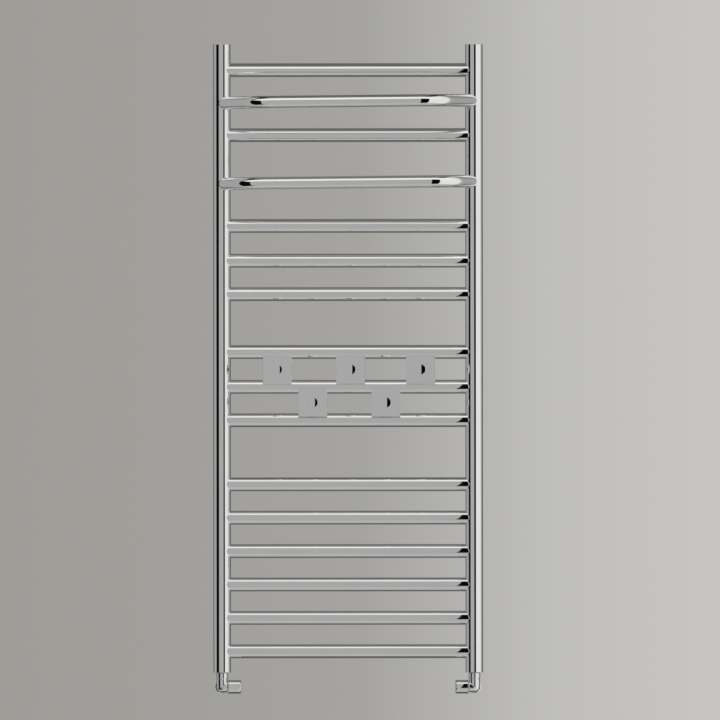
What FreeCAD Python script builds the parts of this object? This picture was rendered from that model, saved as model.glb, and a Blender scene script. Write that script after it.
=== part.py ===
import FreeCAD, Part
import math
import os
import re
from functools import partial

import Sketcher
from FreeCAD import Placement, Rotation, Vector

# A wall-hung ladder towel rail of welded, chromed steel tube, heated by the hot-water circuit.
# It has straight bars in groups, two bowed rails standing proud at the top, five robe hooks clamped
# over the bar gaps, an elbow valve under each upright and four pin-and-cup wall brackets.
#
# Frame: origin in the wall plane, at the centre of the four wall screw holes.
# +X is to the right of someone facing the wall, +Y goes into the wall, +Z is up. Millimetres.

doc = FreeCAD.newDocument("towel_rail")

# Driving sizes: name, value, what it is.
SIZES = [
    # Ladder frame
    ("pipe_centres", 450.0, "distance between the uprights' axes"),
    ("rail_standoff", 70.0, "uprights' axes to the wall"),
    ("upright_diameter", 31.0, "outside of an upright"),
    ("upright_wall", 1.5, "tube wall of an upright"),
    ("bar_diameter", 25.0, "outside of a straight bar"),
    ("bar_wall", 1.5, "tube wall of a straight bar"),
    ("bottom_margin", 37.7, "uprights' lower end to the lowest bar"),
    ("bar_pitch", 59.6, "usual bar to bar distance in a group"),
    ("bar_pitch_wide", 62.1, "top bar to its neighbour in a group of three"),
    ("towel_gap_low", 114.3, "bar 6 to bar 7"),
    ("towel_gap_middle", 103.3, "bar 9 to bar 10"),
    ("towel_gap_high", 162.0, "bar 12 to bar 13"),
    ("towel_gap_top", 116.0, "bar 13 to bar 14"),
    ("top_margin", 45.9, "top bar to the uprights' upper end"),
    ("cap_thickness", 2.5, "disc that closes an upright's top"),
    # Bowed rails
    ("bow_diameter", 22.0, "outside of a bowed rail"),
    ("bow_wall", 1.5, "tube wall of a bowed rail"),
    ("bow_arm_angle", 55.0, "arm to the wall plane, degrees"),
    ("bow_bend_radius", 62.0, "bend radius on the tube's axis"),
    ("bow_foot_shift", 1.8, "arm's foot outside the upright's axis"),
    ("bow_rise", 4.4, "right foot above the left foot"),
    ("bow_port_diameter", 12.0, "water port under a bowed rail's foot"),
    ("bow_upper_reach", 96.0, "upper bowed rail's axis in front of the uprights' axes"),
    ("bow_lower_reach", 67.0, "the same for the lower one"),
    ("bow_upper_rise", 59.0, "upper bowed rail above bar 13"),
    ("bow_lower_rise", 77.0, "lower bowed rail above bar 12"),
    # Wall brackets
    ("bracket_spacing", 730.0, "lower to upper wall screw hole"),
    ("bracket_from_bottom", 190.0, "uprights' lower end to the lower brackets"),
    ("boss_diameter", 18.0, "threaded boss welded behind an upright"),
    ("boss_reach", 21.5, "boss face behind the upright's axis"),
    ("boss_floor", 1.0, "least steel between the boss's blind hole and the tube"),
    ("stud_diameter", 8.0, "threaded end of a bracket stem"),
    ("stem_diameter", 12.0, "plain rod of a bracket stem"),
    ("stem_collar_diameter", 16.0, "stem's collar against the boss"),
    ("stem_collar_length", 3.0, "thickness of that collar"),
    ("cup_diameter", 20.0, "barrel of a wall cup"),
    ("cup_flange_diameter", 25.0, "wall cup's flange"),
    ("cup_floor", 4.0, "wall cup's flange thickness"),
    ("cup_length", 26.0, "wall cup, wall to mouth"),
    ("cup_clearance", 0.1, "radial clearance of the stem in its cup"),
    ("wall_screw_hole", 5.5, "hole through a cup's floor"),
    ("screw_head_room", 5.0, "space kept for the wall screw's head"),
    ("cup_grub_diameter", 4.0, "grub screw that locks a stem"),
    ("cup_grub_back", 18.0, "that screw's distance from the wall"),
    # Air vent and blanking plug
    ("vent_from_top", 30.0, "vent axis below the uprights' top"),
    ("vent_boss_diameter", 17.0, "boss behind the upright's top"),
    ("vent_boss_reach", 23.0, "vent boss face behind the upright's axis"),
    ("vent_thread_diameter", 9.6, "thread of the vent and of the blank"),
    ("vent_thread_length", 7.0, "depth of that thread"),
    ("vent_hex", 12.0, "hexagon across its flats"),
    ("vent_hex_length", 3.5, "thickness of the hexagon"),
    ("vent_screw_diameter", 4.0, "bleed screw"),
    ("vent_screw_length", 10.5, "plain part of the bleed screw"),
    ("vent_key_square", 5.0, "bleed screw's square for the key"),
    ("vent_key_length", 4.0, "length of that square"),
    ("running_clearance", 0.05, "radial clearance of a turning shaft"),
    ("end_clearance", 0.3, "gap between faces that move past each other"),
    # Robe hooks
    ("hook_plate_side", 51.5, "square front plate"),
    ("hook_plate_thickness", 4.0, "front plate"),
    ("hook_plate_bevel", 0.6, "bevel round the plate's front"),
    ("hook_seat_gap", 0.02, "plate edge to bar"),
    ("hook_peg_diameter", 18.0, "round peg"),
    ("hook_peg_length", 30.0, "peg in front of its plate"),
    ("hook_peg_crown", 1.2, "height of the peg's domed end"),
    ("hook_clamp_width", 20.0, "clamp bar behind the bars"),
    ("hook_clamp_thickness", 3.0, "clamp bar"),
    ("hook_lower_lift", 1.9, "lower hooks above the middle of their gap"),
    ("hook_one_x", -126.5, "first upper hook"),
    ("hook_two_x", 4.6, "second upper hook"),
    ("hook_three_x", 129.5, "third upper hook"),
    ("hook_four_x", -63.0, "first lower hook"),
    ("hook_five_x", 67.4, "second lower hook"),
    ("hook_screw_diameter", 5.0, "clamping screw"),
    ("hook_screw_bite", 10.0, "screw's length in the peg"),
    ("hook_hole_clearance", 0.25, "radial clearance round the clamping screw"),
    ("hook_head_diameter", 8.5, "clamping screw's head"),
    ("hook_head_height", 5.0, "clamping screw's head"),
    ("hook_head_hex", 4.0, "hexagon socket in that head"),
    # Valve: tail and union
    ("bush_length", 12.0, "threaded bush inside an upright's lower end"),
    ("tail_thread_diameter", 18.6, "tail's thread in the bush"),
    ("tail_thread_length", 11.0, "length of that thread"),
    ("tail_bore", 9.6, "waterway through the tail"),
    ("spigot_diameter", 13.0, "tail's plain end, inside the valve"),
    ("spigot_length", 15.0, "length of that end"),
    ("spigot_clearance", 0.15, "radial clearance round the plain end"),
    ("seal_groove_depth", 1.2, "groove for the tail's seal"),
    ("seal_groove_width", 2.0, "width of that groove"),
    ("seal_from_end", 2.8, "spigot end to the groove"),
    ("clip_groove_depth", 0.8, "groove for the union clip"),
    ("clip_thickness", 1.0, "union clip"),
    ("clip_diameter", 14.6, "outside of the union clip"),
    ("clip_opening", 5.0, "gap in the union clip"),
    ("nut_gap", 0.4, "upright's end to the union nut"),
    ("nut_diameter", 21.0, "round union nut"),
    ("nut_length", 12.0, "round union nut"),
    ("nut_lip", 3.6, "union nut's top lip"),
    # Valve: body
    ("valve_drop", 25.8, "head's axis below the upright's end"),
    ("elbow_diameter", 20.0, "outside of the valve body"),
    ("corner_reach", 9.0, "rounded corner in front of the valve axis"),
    ("corner_round", 8.4, "its rounding"),
    ("elbow_inward_length", 10.0, "valve body towards the head, from the upright's axis"),
    ("neck_diameter", 16.0, "threaded neck under the union nut"),
    ("neck_length", 6.4, "neck inside the union nut"),
    ("chamber_diameter", 14.0, "bore for the bonnet"),
    ("seat_back", 2.0, "chamber floor outside the upright's axis"),
    ("seat_hole_diameter", 6.4, "hole the valve closes"),
    ("seat_rim_diameter", 8.8, "outside of the seat's raised rim"),
    ("seat_rim_height", 0.8, "height of that rim"),
    ("gallery_diameter", 4.4, "way up from the seat to the tail"),
    ("gallery_back", 6.0, "that way outside the upright's axis"),
    ("inlet_port_diameter", 4.8, "pipe socket to chamber"),
    ("inlet_port_inward", 0.8, "that port inside the upright's axis"),
    ("inlet_port_start", 5.5, "that port's start behind the valve axis, in the chamber"),
    ("shoulder_diameter", 19.6, "rear leg's thick part"),
    ("shoulder_reach", 12.0, "rear leg's thick part behind the valve axis"),
    ("socket_floor", 13.0, "pipe stop behind the valve axis"),
    ("socket_depth", 13.0, "pipe socket"),
    ("pipe_socket_diameter", 15.2, "socket for a 15 mm pipe"),
    ("inlet_thread_diameter", 19.0, "rear leg's thread"),
    ("inlet_nut_diameter", 24.0, "compression nut"),
    ("inlet_nut_flats", 22.0, "compression nut across its two flats"),
    ("inlet_nut_length", 19.0, "compression nut"),
    ("inlet_nut_mouth", 15.6, "compression nut's mouth"),
    ("inlet_nut_lip", 2.4, "straight part of that mouth"),
    ("olive_diameter", 18.4, "crest of the olive"),
    ("olive_nose_diameter", 16.0, "ends of the olive"),
    ("olive_length", 3.0, "olive"),
    ("olive_gap", 0.2, "valve body to olive"),
    # Valve: bonnet, spindle and jumper
    ("bonnet_start", 3.2, "bonnet's inner end from the upright's axis"),
    ("bonnet_hex", 15.0, "bonnet's hexagon across its flats"),
    ("bonnet_hex_length", 4.0, "bonnet's hexagon"),
    ("bonnet_barrel_diameter", 11.6, "bonnet's outer barrel"),
    ("bonnet_barrel_length", 5.5, "bonnet's outer barrel"),
    ("cage_mouth_diameter", 11.2, "bonnet's mouth, clear of the washer"),
    ("cage_mouth_depth", 1.2, "depth of that mouth"),
    ("cage_depth", 9.3, "square hole's end from the bonnet's inner end"),
    ("jumper_square", 7.6, "jumper across its flats"),
    ("jumper_clearance", 0.1, "jumper to each side of its cage"),
    ("jumper_length", 7.2, "jumper"),
    ("jumper_floor", 0.8, "jumper's end wall behind the washer"),
    ("jumper_lift", 1.875, "washer off its seat, valve half open"),
    ("washer_diameter", 9.2, "jumper washer"),
    ("washer_thickness", 1.5, "jumper washer"),
    ("spindle_diameter", 6.0, "spindle in the bonnet"),
    ("spindle_thread_diameter", 4.4, "spindle's thread in the jumper"),
    ("spindle_thread_start", 4.9, "spindle's tip from the upright's axis"),
    ("spindle_collar_diameter", 7.4, "collar that holds the spindle in"),
    ("spindle_collar_length", 1.0, "that collar"),
    ("spindle_collar_gap", 0.1, "collar to the bonnet"),
    ("spindle_square", 4.2, "square that drives the spindle"),
    ("spindle_square_length", 9.0, "that square"),
    ("spindle_seal_depth", 1.3, "groove in the bonnet for the spindle's seal"),
    ("spindle_seal_width", 1.8, "width of that groove"),
    # Valve: head
    ("head_diameter", 24.6, "valve head"),
    ("head_length", 22.8, "valve head"),
    ("head_gap", 1.0, "valve body to head"),
    ("head_round", 3.0, "rounding of the head's outer rim"),
    ("head_skirt_wall", 2.0, "wall of the head's hollow skirt"),
    ("head_skirt_depth", 10.0, "depth of that hollow"),
    ("head_grub_diameter", 3.0, "grub screw that locks the head"),
    ("head_grub_length", 5.0, "that screw"),
    ("head_grub_from_web", 5.0, "its axis from the bottom of the hollow"),
]

sheet = doc.addObject("Spreadsheet::Sheet", "Sizes")
for row, (name, number, meaning) in enumerate(SIZES, 1):
    sheet.set(f"A{row}", name)
    sheet.set(f"B{row}", str(number))
    sheet.set(f"C{row}", meaning)
    sheet.setAlias(f"B{row}", name)
doc.recompute()

SIZE_NAME = re.compile(r"\b(" + "|".join(name for name, _, _ in SIZES) + r")\b")

# Which way a piece's own Z axis points.
UP = Rotation()
DOWN = Rotation(Vector(1, 0, 0), 180)
TO_WALL = Rotation(Vector(1, 0, 0), -90)
TO_ROOM = Rotation(Vector(1, 0, 0), 90)
TO_RIGHT = Rotation(Vector(0, 1, 0), 90)
TO_LEFT = Rotation(Vector(0, 1, 0), -90)

SIDES = (("left", -1, TO_RIGHT), ("right", 1, TO_LEFT))

# Places shared by many pieces, as formulas over the sizes.
RAIL_Y = "(-rail_standoff)"
BOTTOM_Z = "(-bracket_spacing/2 - bracket_from_bottom)"
BAR_STEPS = (
    ["bottom_margin"]
    + ["bar_pitch"] * 5
    + ["towel_gap_low", "bar_pitch", "bar_pitch_wide"]
    + ["towel_gap_middle", "bar_pitch", "bar_pitch_wide"]
    + ["towel_gap_high", "towel_gap_top"]
)
BAR_COUNT = len(BAR_STEPS)
UPRIGHT_LENGTH = "(" + " + ".join(BAR_STEPS + ["top_margin"]) + ")"
UPRIGHT_BORE = "(upright_diameter/2 - upright_wall)"
VALVE_Z = f"({BOTTOM_Z} - valve_drop)"

nodes = {}


def formula(text):
    """Writes a formula over size names as an expression over the sheet's cells."""
    return SIZE_NAME.sub(r"Sizes.\1", text)


def bind(obj, **sizes):
    """Ties an object's properties to formulas over the sizes."""
    for prop, text in sizes.items():
        obj.setExpression(prop, formula(text))


def place(obj, x, y, z, rotation=UP):
    """Turns an object and ties its position to formulas over the sizes."""
    obj.Placement = Placement(Vector(), rotation)
    for letter, text in zip("xyz", (x, y, z)):
        obj.setExpression(f"Placement.Base.{letter}", formula(text))


def keep(label, obj):
    """Makes an object one of the rail's pieces."""
    obj.Label = label
    nodes[label] = obj
    return obj


def bar_z(number):
    """Height of a bar's axis. Bars count from 1 at the bottom."""
    return f"({BOTTOM_Z} + {' + '.join(BAR_STEPS[:number])})"


def upright_x(side):
    return f"({side}*pipe_centres/2)"


def inward(side, distance):
    """X of a point that is a distance inside an upright's axis."""
    return f"({side}*(pipe_centres/2 - ({distance})))"


def cylinder(name, radius, length, x, y, z, rotation=UP):
    obj = doc.addObject("Part::Cylinder", name)
    bind(obj, Radius=radius, Height=length)
    place(obj, x, y, z, rotation)
    return obj


def square_bar(name, side, length, x, y, z, rotation=UP):
    """A square rod centred on its own Z axis: a four-sided prism."""
    obj = doc.addObject("Part::Prism", name)
    obj.Polygon = 4
    bind(obj, Circumradius=f"({side})/sqrt(2)", Height=length)
    turn = Rotation(Vector(0, 0, 1), 45)
    place(obj, x, y, z, rotation.multiply(turn))
    return obj


def hexagon(name, flats, length, x, y, z, rotation=UP):
    obj = doc.addObject("Part::Prism", name)
    obj.Polygon = 6
    bind(obj, Circumradius=f"({flats})/sqrt(3)", Height=length)
    place(obj, x, y, z, rotation)
    return obj


def fuse(name, *pieces):
    obj = doc.addObject("Part::MultiFuse", name)
    obj.Shapes = list(pieces)
    return obj


def cut(name, base, *tools):
    obj = doc.addObject("Part::Cut", name)
    obj.Base = base
    obj.Tool = tools[0] if len(tools) == 1 else fuse(f"{name}_tools", *tools)
    return obj


def group(label, pieces):
    """Identical small pieces that share one node, each still its own solid."""
    obj = doc.addObject("Part::Compound", label)
    obj.Links = list(pieces)
    return keep(label, obj)


def origin_plane(body, role):
    return next(f for f in body.Origin.OriginFeatures if f.Role == role)


def new_sketch(body, name, role):
    sketch = body.newObject("Sketcher::SketchObject", name)
    sketch.AttachmentSupport = [(origin_plane(body, role), "")]
    sketch.MapMode = "FlatFace"
    return sketch


def draw_outline(sketch, points):
    """A closed polygon whose corners are tied to formulas, measured from the sketch's origin."""
    count = len(points)
    start = [Vector(1 + i, i * i, 0) for i in range(count)]
    lines = [Part.LineSegment(start[i], start[(i + 1) % count]) for i in range(count)]
    sketch.addGeometry(lines, False)
    joints = [Sketcher.Constraint("Coincident", i, 2, (i + 1) % count, 1) for i in range(count)]
    sketch.addConstraint(joints)
    for i, corner in enumerate(points):
        for kind, text in zip(("DistanceX", "DistanceY"), corner):
            index = sketch.addConstraint(Sketcher.Constraint(kind, -1, 1, i, 1, 1.0))
            name = f"{kind[-1].lower()}_{i}"
            sketch.renameConstraint(index, name)
            sketch.setExpression(f"Constraints.{name}", formula(text))


def turned(name, outline, x, y, z, rotation=UP):
    """A lathe-turned piece: (radius, along) corners of half its section, spun about its own Z."""
    body = doc.addObject("PartDesign::Body", name)
    sketch = new_sketch(body, f"{name}_outline", "XZ_Plane")
    draw_outline(sketch, outline)
    spin = body.newObject("PartDesign::Revolution", f"{name}_spin")
    spin.Profile = sketch
    spin.ReferenceAxis = (sketch, ["V_Axis"])
    spin.Angle = 360
    place(body, x, y, z, rotation)
    return body


def top_rim(feature):
    """Names of the edges at a feature's highest level that are its widest circle."""
    top = feature.Shape.BoundBox.ZMax
    widest = feature.Shape.BoundBox.XMax
    names = []
    for number, edge in enumerate(feature.Shape.Edges, 1):
        box = edge.BoundBox
        if abs(box.ZMin - top) < 1e-4 and abs(box.XMax - widest) < 1e-3:
            names.append(f"Edge{number}")
    return names


def round_top(body, radius):
    """Rounds the widest rim at the top end of a turned piece."""
    doc.recompute()
    spin = body.Tip
    fillet = body.newObject("PartDesign::Fillet", f"{body.Name}_round")
    fillet.Base = (spin, top_rim(spin))
    bind(fillet, Radius=radius)
    body.Tip = fillet
    return body


# --- Straight bars -------------------------------------------------------------------------------

# The uprights' outsides, which shape the saddle ends of everything welded to them.
upright_rods = {
    name: cylinder(f"{name}_rod", "upright_diameter/2", UPRIGHT_LENGTH, upright_x(side), RAIL_Y, BOTTOM_Z)
    for name, side, _ in SIDES
}
upright_ports = {name: [] for name, _, _ in SIDES}


def along_bar(name, number, radius):
    """A rod on a bar's axis, from one upright's axis to the other's."""
    return cylinder(name, radius, "pipe_centres", upright_x(-1), RAIL_Y, bar_z(number), TO_RIGHT)


for number in range(1, BAR_COUNT + 1):
    label = f"bar_{number:02d}"
    rod = along_bar(f"{label}_rod", number, "bar_diameter/2")
    bore = along_bar(f"{label}_bore", number, "bar_diameter/2 - bar_wall")
    keep(label, cut(label, rod, bore, *upright_rods.values()))
    for ports in upright_ports.values():
        ports.append(bore)

# --- Bowed rails ---------------------------------------------------------------------------------

BOWS = (
    ("upper", f"({bar_z(13)} + bow_upper_rise)", "bow_upper_reach"),
    ("lower", f"({bar_z(12)} + bow_lower_rise)", "bow_lower_reach"),
)


def size_of(name):
    return float(sheet.get(name))


def draw_bow(sketch, reach):
    """The bent axis: arm, bend, straight front, bend and arm, each tangent to the next."""
    angle = math.radians(size_of("bow_arm_angle"))
    radius = size_of("bow_bend_radius")
    depth = size_of(reach)
    half = size_of("pipe_centres")/2 + size_of("bow_foot_shift")
    knee_y = radius*(1 - math.cos(angle)) - depth
    knee = Vector(knee_y/math.tan(angle) + half, knee_y, 0)
    front = Vector(knee.x - radius*math.sin(angle), -depth, 0)
    middle = Vector(front.x + radius*math.sin(angle/2), radius*(1 - math.cos(angle/2)) - depth, 0)
    foot = Vector(half, 0, 0)

    def left(point):
        return Vector(-point.x, point.y, 0)

    arm_in = Part.LineSegment(left(foot), left(knee))
    bend_in = Part.Arc(left(knee), left(middle), left(front))
    straight = Part.LineSegment(left(front), front)
    bend_out = Part.Arc(front, middle, knee)
    arm_out = Part.LineSegment(knee, foot)
    sketch.addGeometry([arm_in, bend_in, straight, bend_out, arm_out], False)
    tangents = [Sketcher.Constraint("Tangent", i, 2, i + 1, 1) for i in range(4)]
    sketch.addConstraint(tangents)
    sketch.addConstraint([Sketcher.Constraint("Horizontal", 2), Sketcher.Constraint("Equal", 1, 3)])
    driving = (
        ("left_foot_x", ("DistanceX", -1, 1, 0, 1, -half), "-(pipe_centres/2 + bow_foot_shift)"),
        ("left_foot_y", ("DistanceY", -1, 1, 0, 1, 0.0), "0"),
        ("right_foot_x", ("DistanceX", -1, 1, 4, 2, half), "pipe_centres/2 + bow_foot_shift"),
        ("right_foot_y", ("DistanceY", -1, 1, 4, 2, 0.0), "0"),
        ("reach", ("DistanceY", -1, 1, 2, 1, -depth), f"-{reach}"),
        ("bend", ("Radius", 1, radius), "bow_bend_radius"),
        ("arm", ("Angle", 0, -angle), "-bow_arm_angle * 1deg"),
    )
    for name, terms, text in driving:
        index = sketch.addConstraint(Sketcher.Constraint(*terms))
        sketch.renameConstraint(index, name)
        sketch.setExpression(f"Constraints.{name}", formula(text))


for name, z, reach in BOWS:
    label = f"bow_rail_{name}"
    body = doc.addObject("PartDesign::Body", f"{label}_tube")
    path = new_sketch(body, f"{label}_path", "XY_Plane")
    draw_bow(path, reach)
    doc.recompute()
    ring = body.newObject("Sketcher::SketchObject", f"{label}_ring")
    ring.AttachmentSupport = [(path, "Edge1")]
    ring.MapMode = "NormalToEdge"
    ring.MapPathParameter = 0
    for index, (edge, text) in enumerate((("outside", "bow_diameter/2"), ("bore", "bow_diameter/2 - bow_wall"))):
        ring.addGeometry(Part.Circle(Vector(), Vector(0, 0, 1), 10.0 - index), False)
        ring.addConstraint(Sketcher.Constraint("Coincident", index, 3, -1, 1))
        term = ring.addConstraint(Sketcher.Constraint("Radius", index, 10.0 - index))
        ring.renameConstraint(term, edge)
        ring.setExpression(f"Constraints.{edge}", formula(text))
    pipe = body.newObject("PartDesign::AdditivePipe", f"{label}_pipe")
    pipe.Profile = ring
    pipe.Spine = (path, [f"Edge{number}" for number in range(1, 6)])
    place(body, "0", RAIL_Y, z, Rotation(Vector(0, -1, 0), 1))
    body.setExpression("Placement.Rotation.Angle", formula("atan(bow_rise/pipe_centres)"))
    keep(label, cut(label, body, *upright_rods.values()))
    angle = math.radians(size_of("bow_arm_angle"))
    for name, side, _ in SIDES:
        arm = Vector(-side*math.cos(angle), -math.sin(angle), 0)
        port = cylinder(
            f"{label}_{name}_port",
            "bow_port_diameter/2",
            "upright_diameter",
            f"{side}*(pipe_centres/2 + bow_foot_shift)",
            RAIL_Y,
            f"{z} + {side}*bow_rise/2",
            Rotation(Vector(0, 0, 1), arm),
        )
        upright_ports[name].append(port)

# --- Uprights, with their caps, bushes and bosses ------------------------------------------------

TOP_Z = f"({BOTTOM_Z} + {UPRIGHT_LENGTH})"
VENT_Z = f"({TOP_Z} - vent_from_top)"
BRACKET_ROWS = (("lower", "(-bracket_spacing/2)"), ("upper", "(bracket_spacing/2)"))

caps, bushes, vent_bosses, bracket_bosses = [], [], [], []
for name, side, _ in SIDES:
    x = upright_x(side)
    bore = cylinder(f"{name}_upright_bore", UPRIGHT_BORE, UPRIGHT_LENGTH, x, RAIL_Y, BOTTOM_Z)
    vent_hole = cylinder(
        f"{name}_vent_hole", "vent_thread_diameter/2", "vent_boss_reach", x, RAIL_Y, VENT_Z, TO_WALL
    )
    label = f"upright_{name}"
    keep(label, cut(label, upright_rods[name], bore, vent_hole, *upright_ports[name]))

    caps.append(
        cylinder(f"{name}_cap", UPRIGHT_BORE, "cap_thickness", x, RAIL_Y, f"{TOP_Z} - cap_thickness")
    )
    bush_rod = cylinder(f"{name}_bush_rod", UPRIGHT_BORE, "bush_length", x, RAIL_Y, BOTTOM_Z)
    bush_hole = cylinder(f"{name}_bush_hole", "tail_thread_diameter/2", "bush_length", x, RAIL_Y, BOTTOM_Z)
    bushes.append(cut(f"{name}_bush", bush_rod, bush_hole))
    vent_rod = cylinder(
        f"{name}_vent_rod", "vent_boss_diameter/2", "vent_boss_reach", x, RAIL_Y, VENT_Z, TO_WALL
    )
    vent_bosses.append(cut(f"{name}_vent_boss", vent_rod, vent_hole, upright_rods[name]))
    for row_name, row_z in BRACKET_ROWS:
        tag = f"{name}_{row_name}"
        boss_rod = cylinder(f"{tag}_boss_rod", "boss_diameter/2", "boss_reach", x, RAIL_Y, row_z, TO_WALL)
        boss_hole = cylinder(
            f"{tag}_boss_hole",
            "stud_diameter/2",
            "boss_reach",
            x,
            f"{RAIL_Y} + upright_diameter/2 + boss_floor",
            row_z,
            TO_WALL,
        )
        bracket_bosses.append(cut(f"{tag}_boss", boss_rod, boss_hole, upright_rods[name]))
group("top_caps", caps)
group("inlet_bushes", bushes)
group("vent_bosses", vent_bosses)
group("bracket_bosses", bracket_bosses)

# --- Air vent on the right, blanking plug on the left --------------------------------------------


def vent_fitting(label, side, bore_radius):
    """A threaded plug with a hexagon, screwed into a vent boss. A bore radius of none leaves it blind."""
    x = upright_x(side)
    start = f"({RAIL_Y} + vent_boss_reach - vent_thread_length)"
    thread = cylinder(
        f"{label}_thread", "vent_thread_diameter/2", "vent_thread_length", x, start, VENT_Z, TO_WALL
    )
    face = f"({RAIL_Y} + vent_boss_reach)"
    head = hexagon(f"{label}_hexagon", "vent_hex", "vent_hex_length", x, face, VENT_Z, TO_WALL)
    plug = fuse(f"{label}_solid", thread, head)
    if bore_radius is None:
        return keep(label, plug)
    length = "vent_thread_length + vent_hex_length"
    bore = cylinder(f"{label}_bore", bore_radius, length, x, start, VENT_Z, TO_WALL)
    return keep(label, cut(label, plug, bore))


vent_fitting("vent_plug", 1, "vent_screw_diameter/2 + running_clearance")
vent_fitting("blank_plug", -1, None)

VENT_TIP_Y = f"({RAIL_Y} + vent_boss_reach + vent_hex_length + end_clearance - vent_screw_length)"
vent_rod = cylinder(
    "vent_screw_rod", "vent_screw_diameter/2", "vent_screw_length", upright_x(1), VENT_TIP_Y, VENT_Z, TO_WALL
)
vent_key = square_bar(
    "vent_screw_key",
    "vent_key_square",
    "vent_key_length",
    upright_x(1),
    f"{VENT_TIP_Y} + vent_screw_length",
    VENT_Z,
    TO_WALL,
)
keep("vent_screw", fuse("vent_screw", vent_rod, vent_key))

# --- Wall brackets -------------------------------------------------------------------------------

CUP_BORE = "(stem_diameter/2 + cup_clearance)"
STEM_LENGTH = "(rail_standoff - boss_reach - cup_floor - screw_head_room)"
STUD_LENGTH = "(boss_reach - upright_diameter/2 - boss_floor)"
CUP_OUTLINE = (
    ("wall_screw_hole/2", "0"),
    ("cup_flange_diameter/2", "0"),
    ("cup_flange_diameter/2", "cup_floor"),
    ("cup_diameter/2", "cup_floor"),
    ("cup_diameter/2", "cup_length"),
    (CUP_BORE, "cup_length"),
    (CUP_BORE, "cup_floor"),
    ("wall_screw_hole/2", "cup_floor"),
)
STEM_OUTLINE = (
    ("0", f"-{STUD_LENGTH}"),
    ("stud_diameter/2", f"-{STUD_LENGTH}"),
    ("stud_diameter/2", "0"),
    ("stem_collar_diameter/2", "0"),
    ("stem_collar_diameter/2", "stem_collar_length"),
    ("stem_diameter/2", "stem_collar_length"),
    ("stem_diameter/2", STEM_LENGTH),
    ("0", STEM_LENGTH),
)
cups, stems, cup_grubs = [], [], []
for name, side, _ in SIDES:
    for row_name, row_z in BRACKET_ROWS:
        tag = f"{name}_{row_name}"
        x = upright_x(side)
        shell = turned(f"{tag}_cup_shell", CUP_OUTLINE, x, "0", row_z, TO_ROOM)
        grub_hole = cylinder(
            f"{tag}_grub_hole", "cup_grub_diameter/2", "cup_diameter", x, "-cup_grub_back", row_z, DOWN
        )
        cups.append(cut(f"{tag}_cup", shell, grub_hole))
        stems.append(turned(f"{tag}_stem", STEM_OUTLINE, x, f"{RAIL_Y} + boss_reach", row_z, TO_WALL))
        cup_grubs.append(
            cylinder(
                f"{tag}_grub",
                "cup_grub_diameter/2",
                "(cup_diameter - stem_diameter)/2",
                x,
                "-cup_grub_back",
                f"{row_z} - stem_diameter/2",
                DOWN,
            )
        )
group("wall_cups", cups)
group("bracket_stems", stems)
group("bracket_grub_screws", cup_grubs)

# --- Robe hooks ----------------------------------------------------------------------------------

UPPER_GAP = (f"(({bar_z(8)} + {bar_z(9)})/2)", "bar_pitch_wide", "0")
LOWER_GAP = (f"(({bar_z(7)} + {bar_z(8)})/2 + hook_lower_lift)", "bar_pitch", "hook_lower_lift")
HOOKS = (
    ("hook_one_x", UPPER_GAP),
    ("hook_two_x", UPPER_GAP),
    ("hook_three_x", UPPER_GAP),
    ("hook_four_x", LOWER_GAP),
    ("hook_five_x", LOWER_GAP),
)
CROWN_RADIUS = "(((hook_peg_diameter/2)^2 + hook_peg_crown^2)/(2*hook_peg_crown))"


def seat_depth(pitch, lift):
    """Bar axis to the plane where a flat plate across the gap meets the nearer bar."""
    overhang = f"max(0; ({pitch} - hook_plate_side)/2 - {lift})"
    return f"(sqrt((bar_diameter/2)^2 - ({overhang})^2) + hook_seat_gap)"


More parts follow.
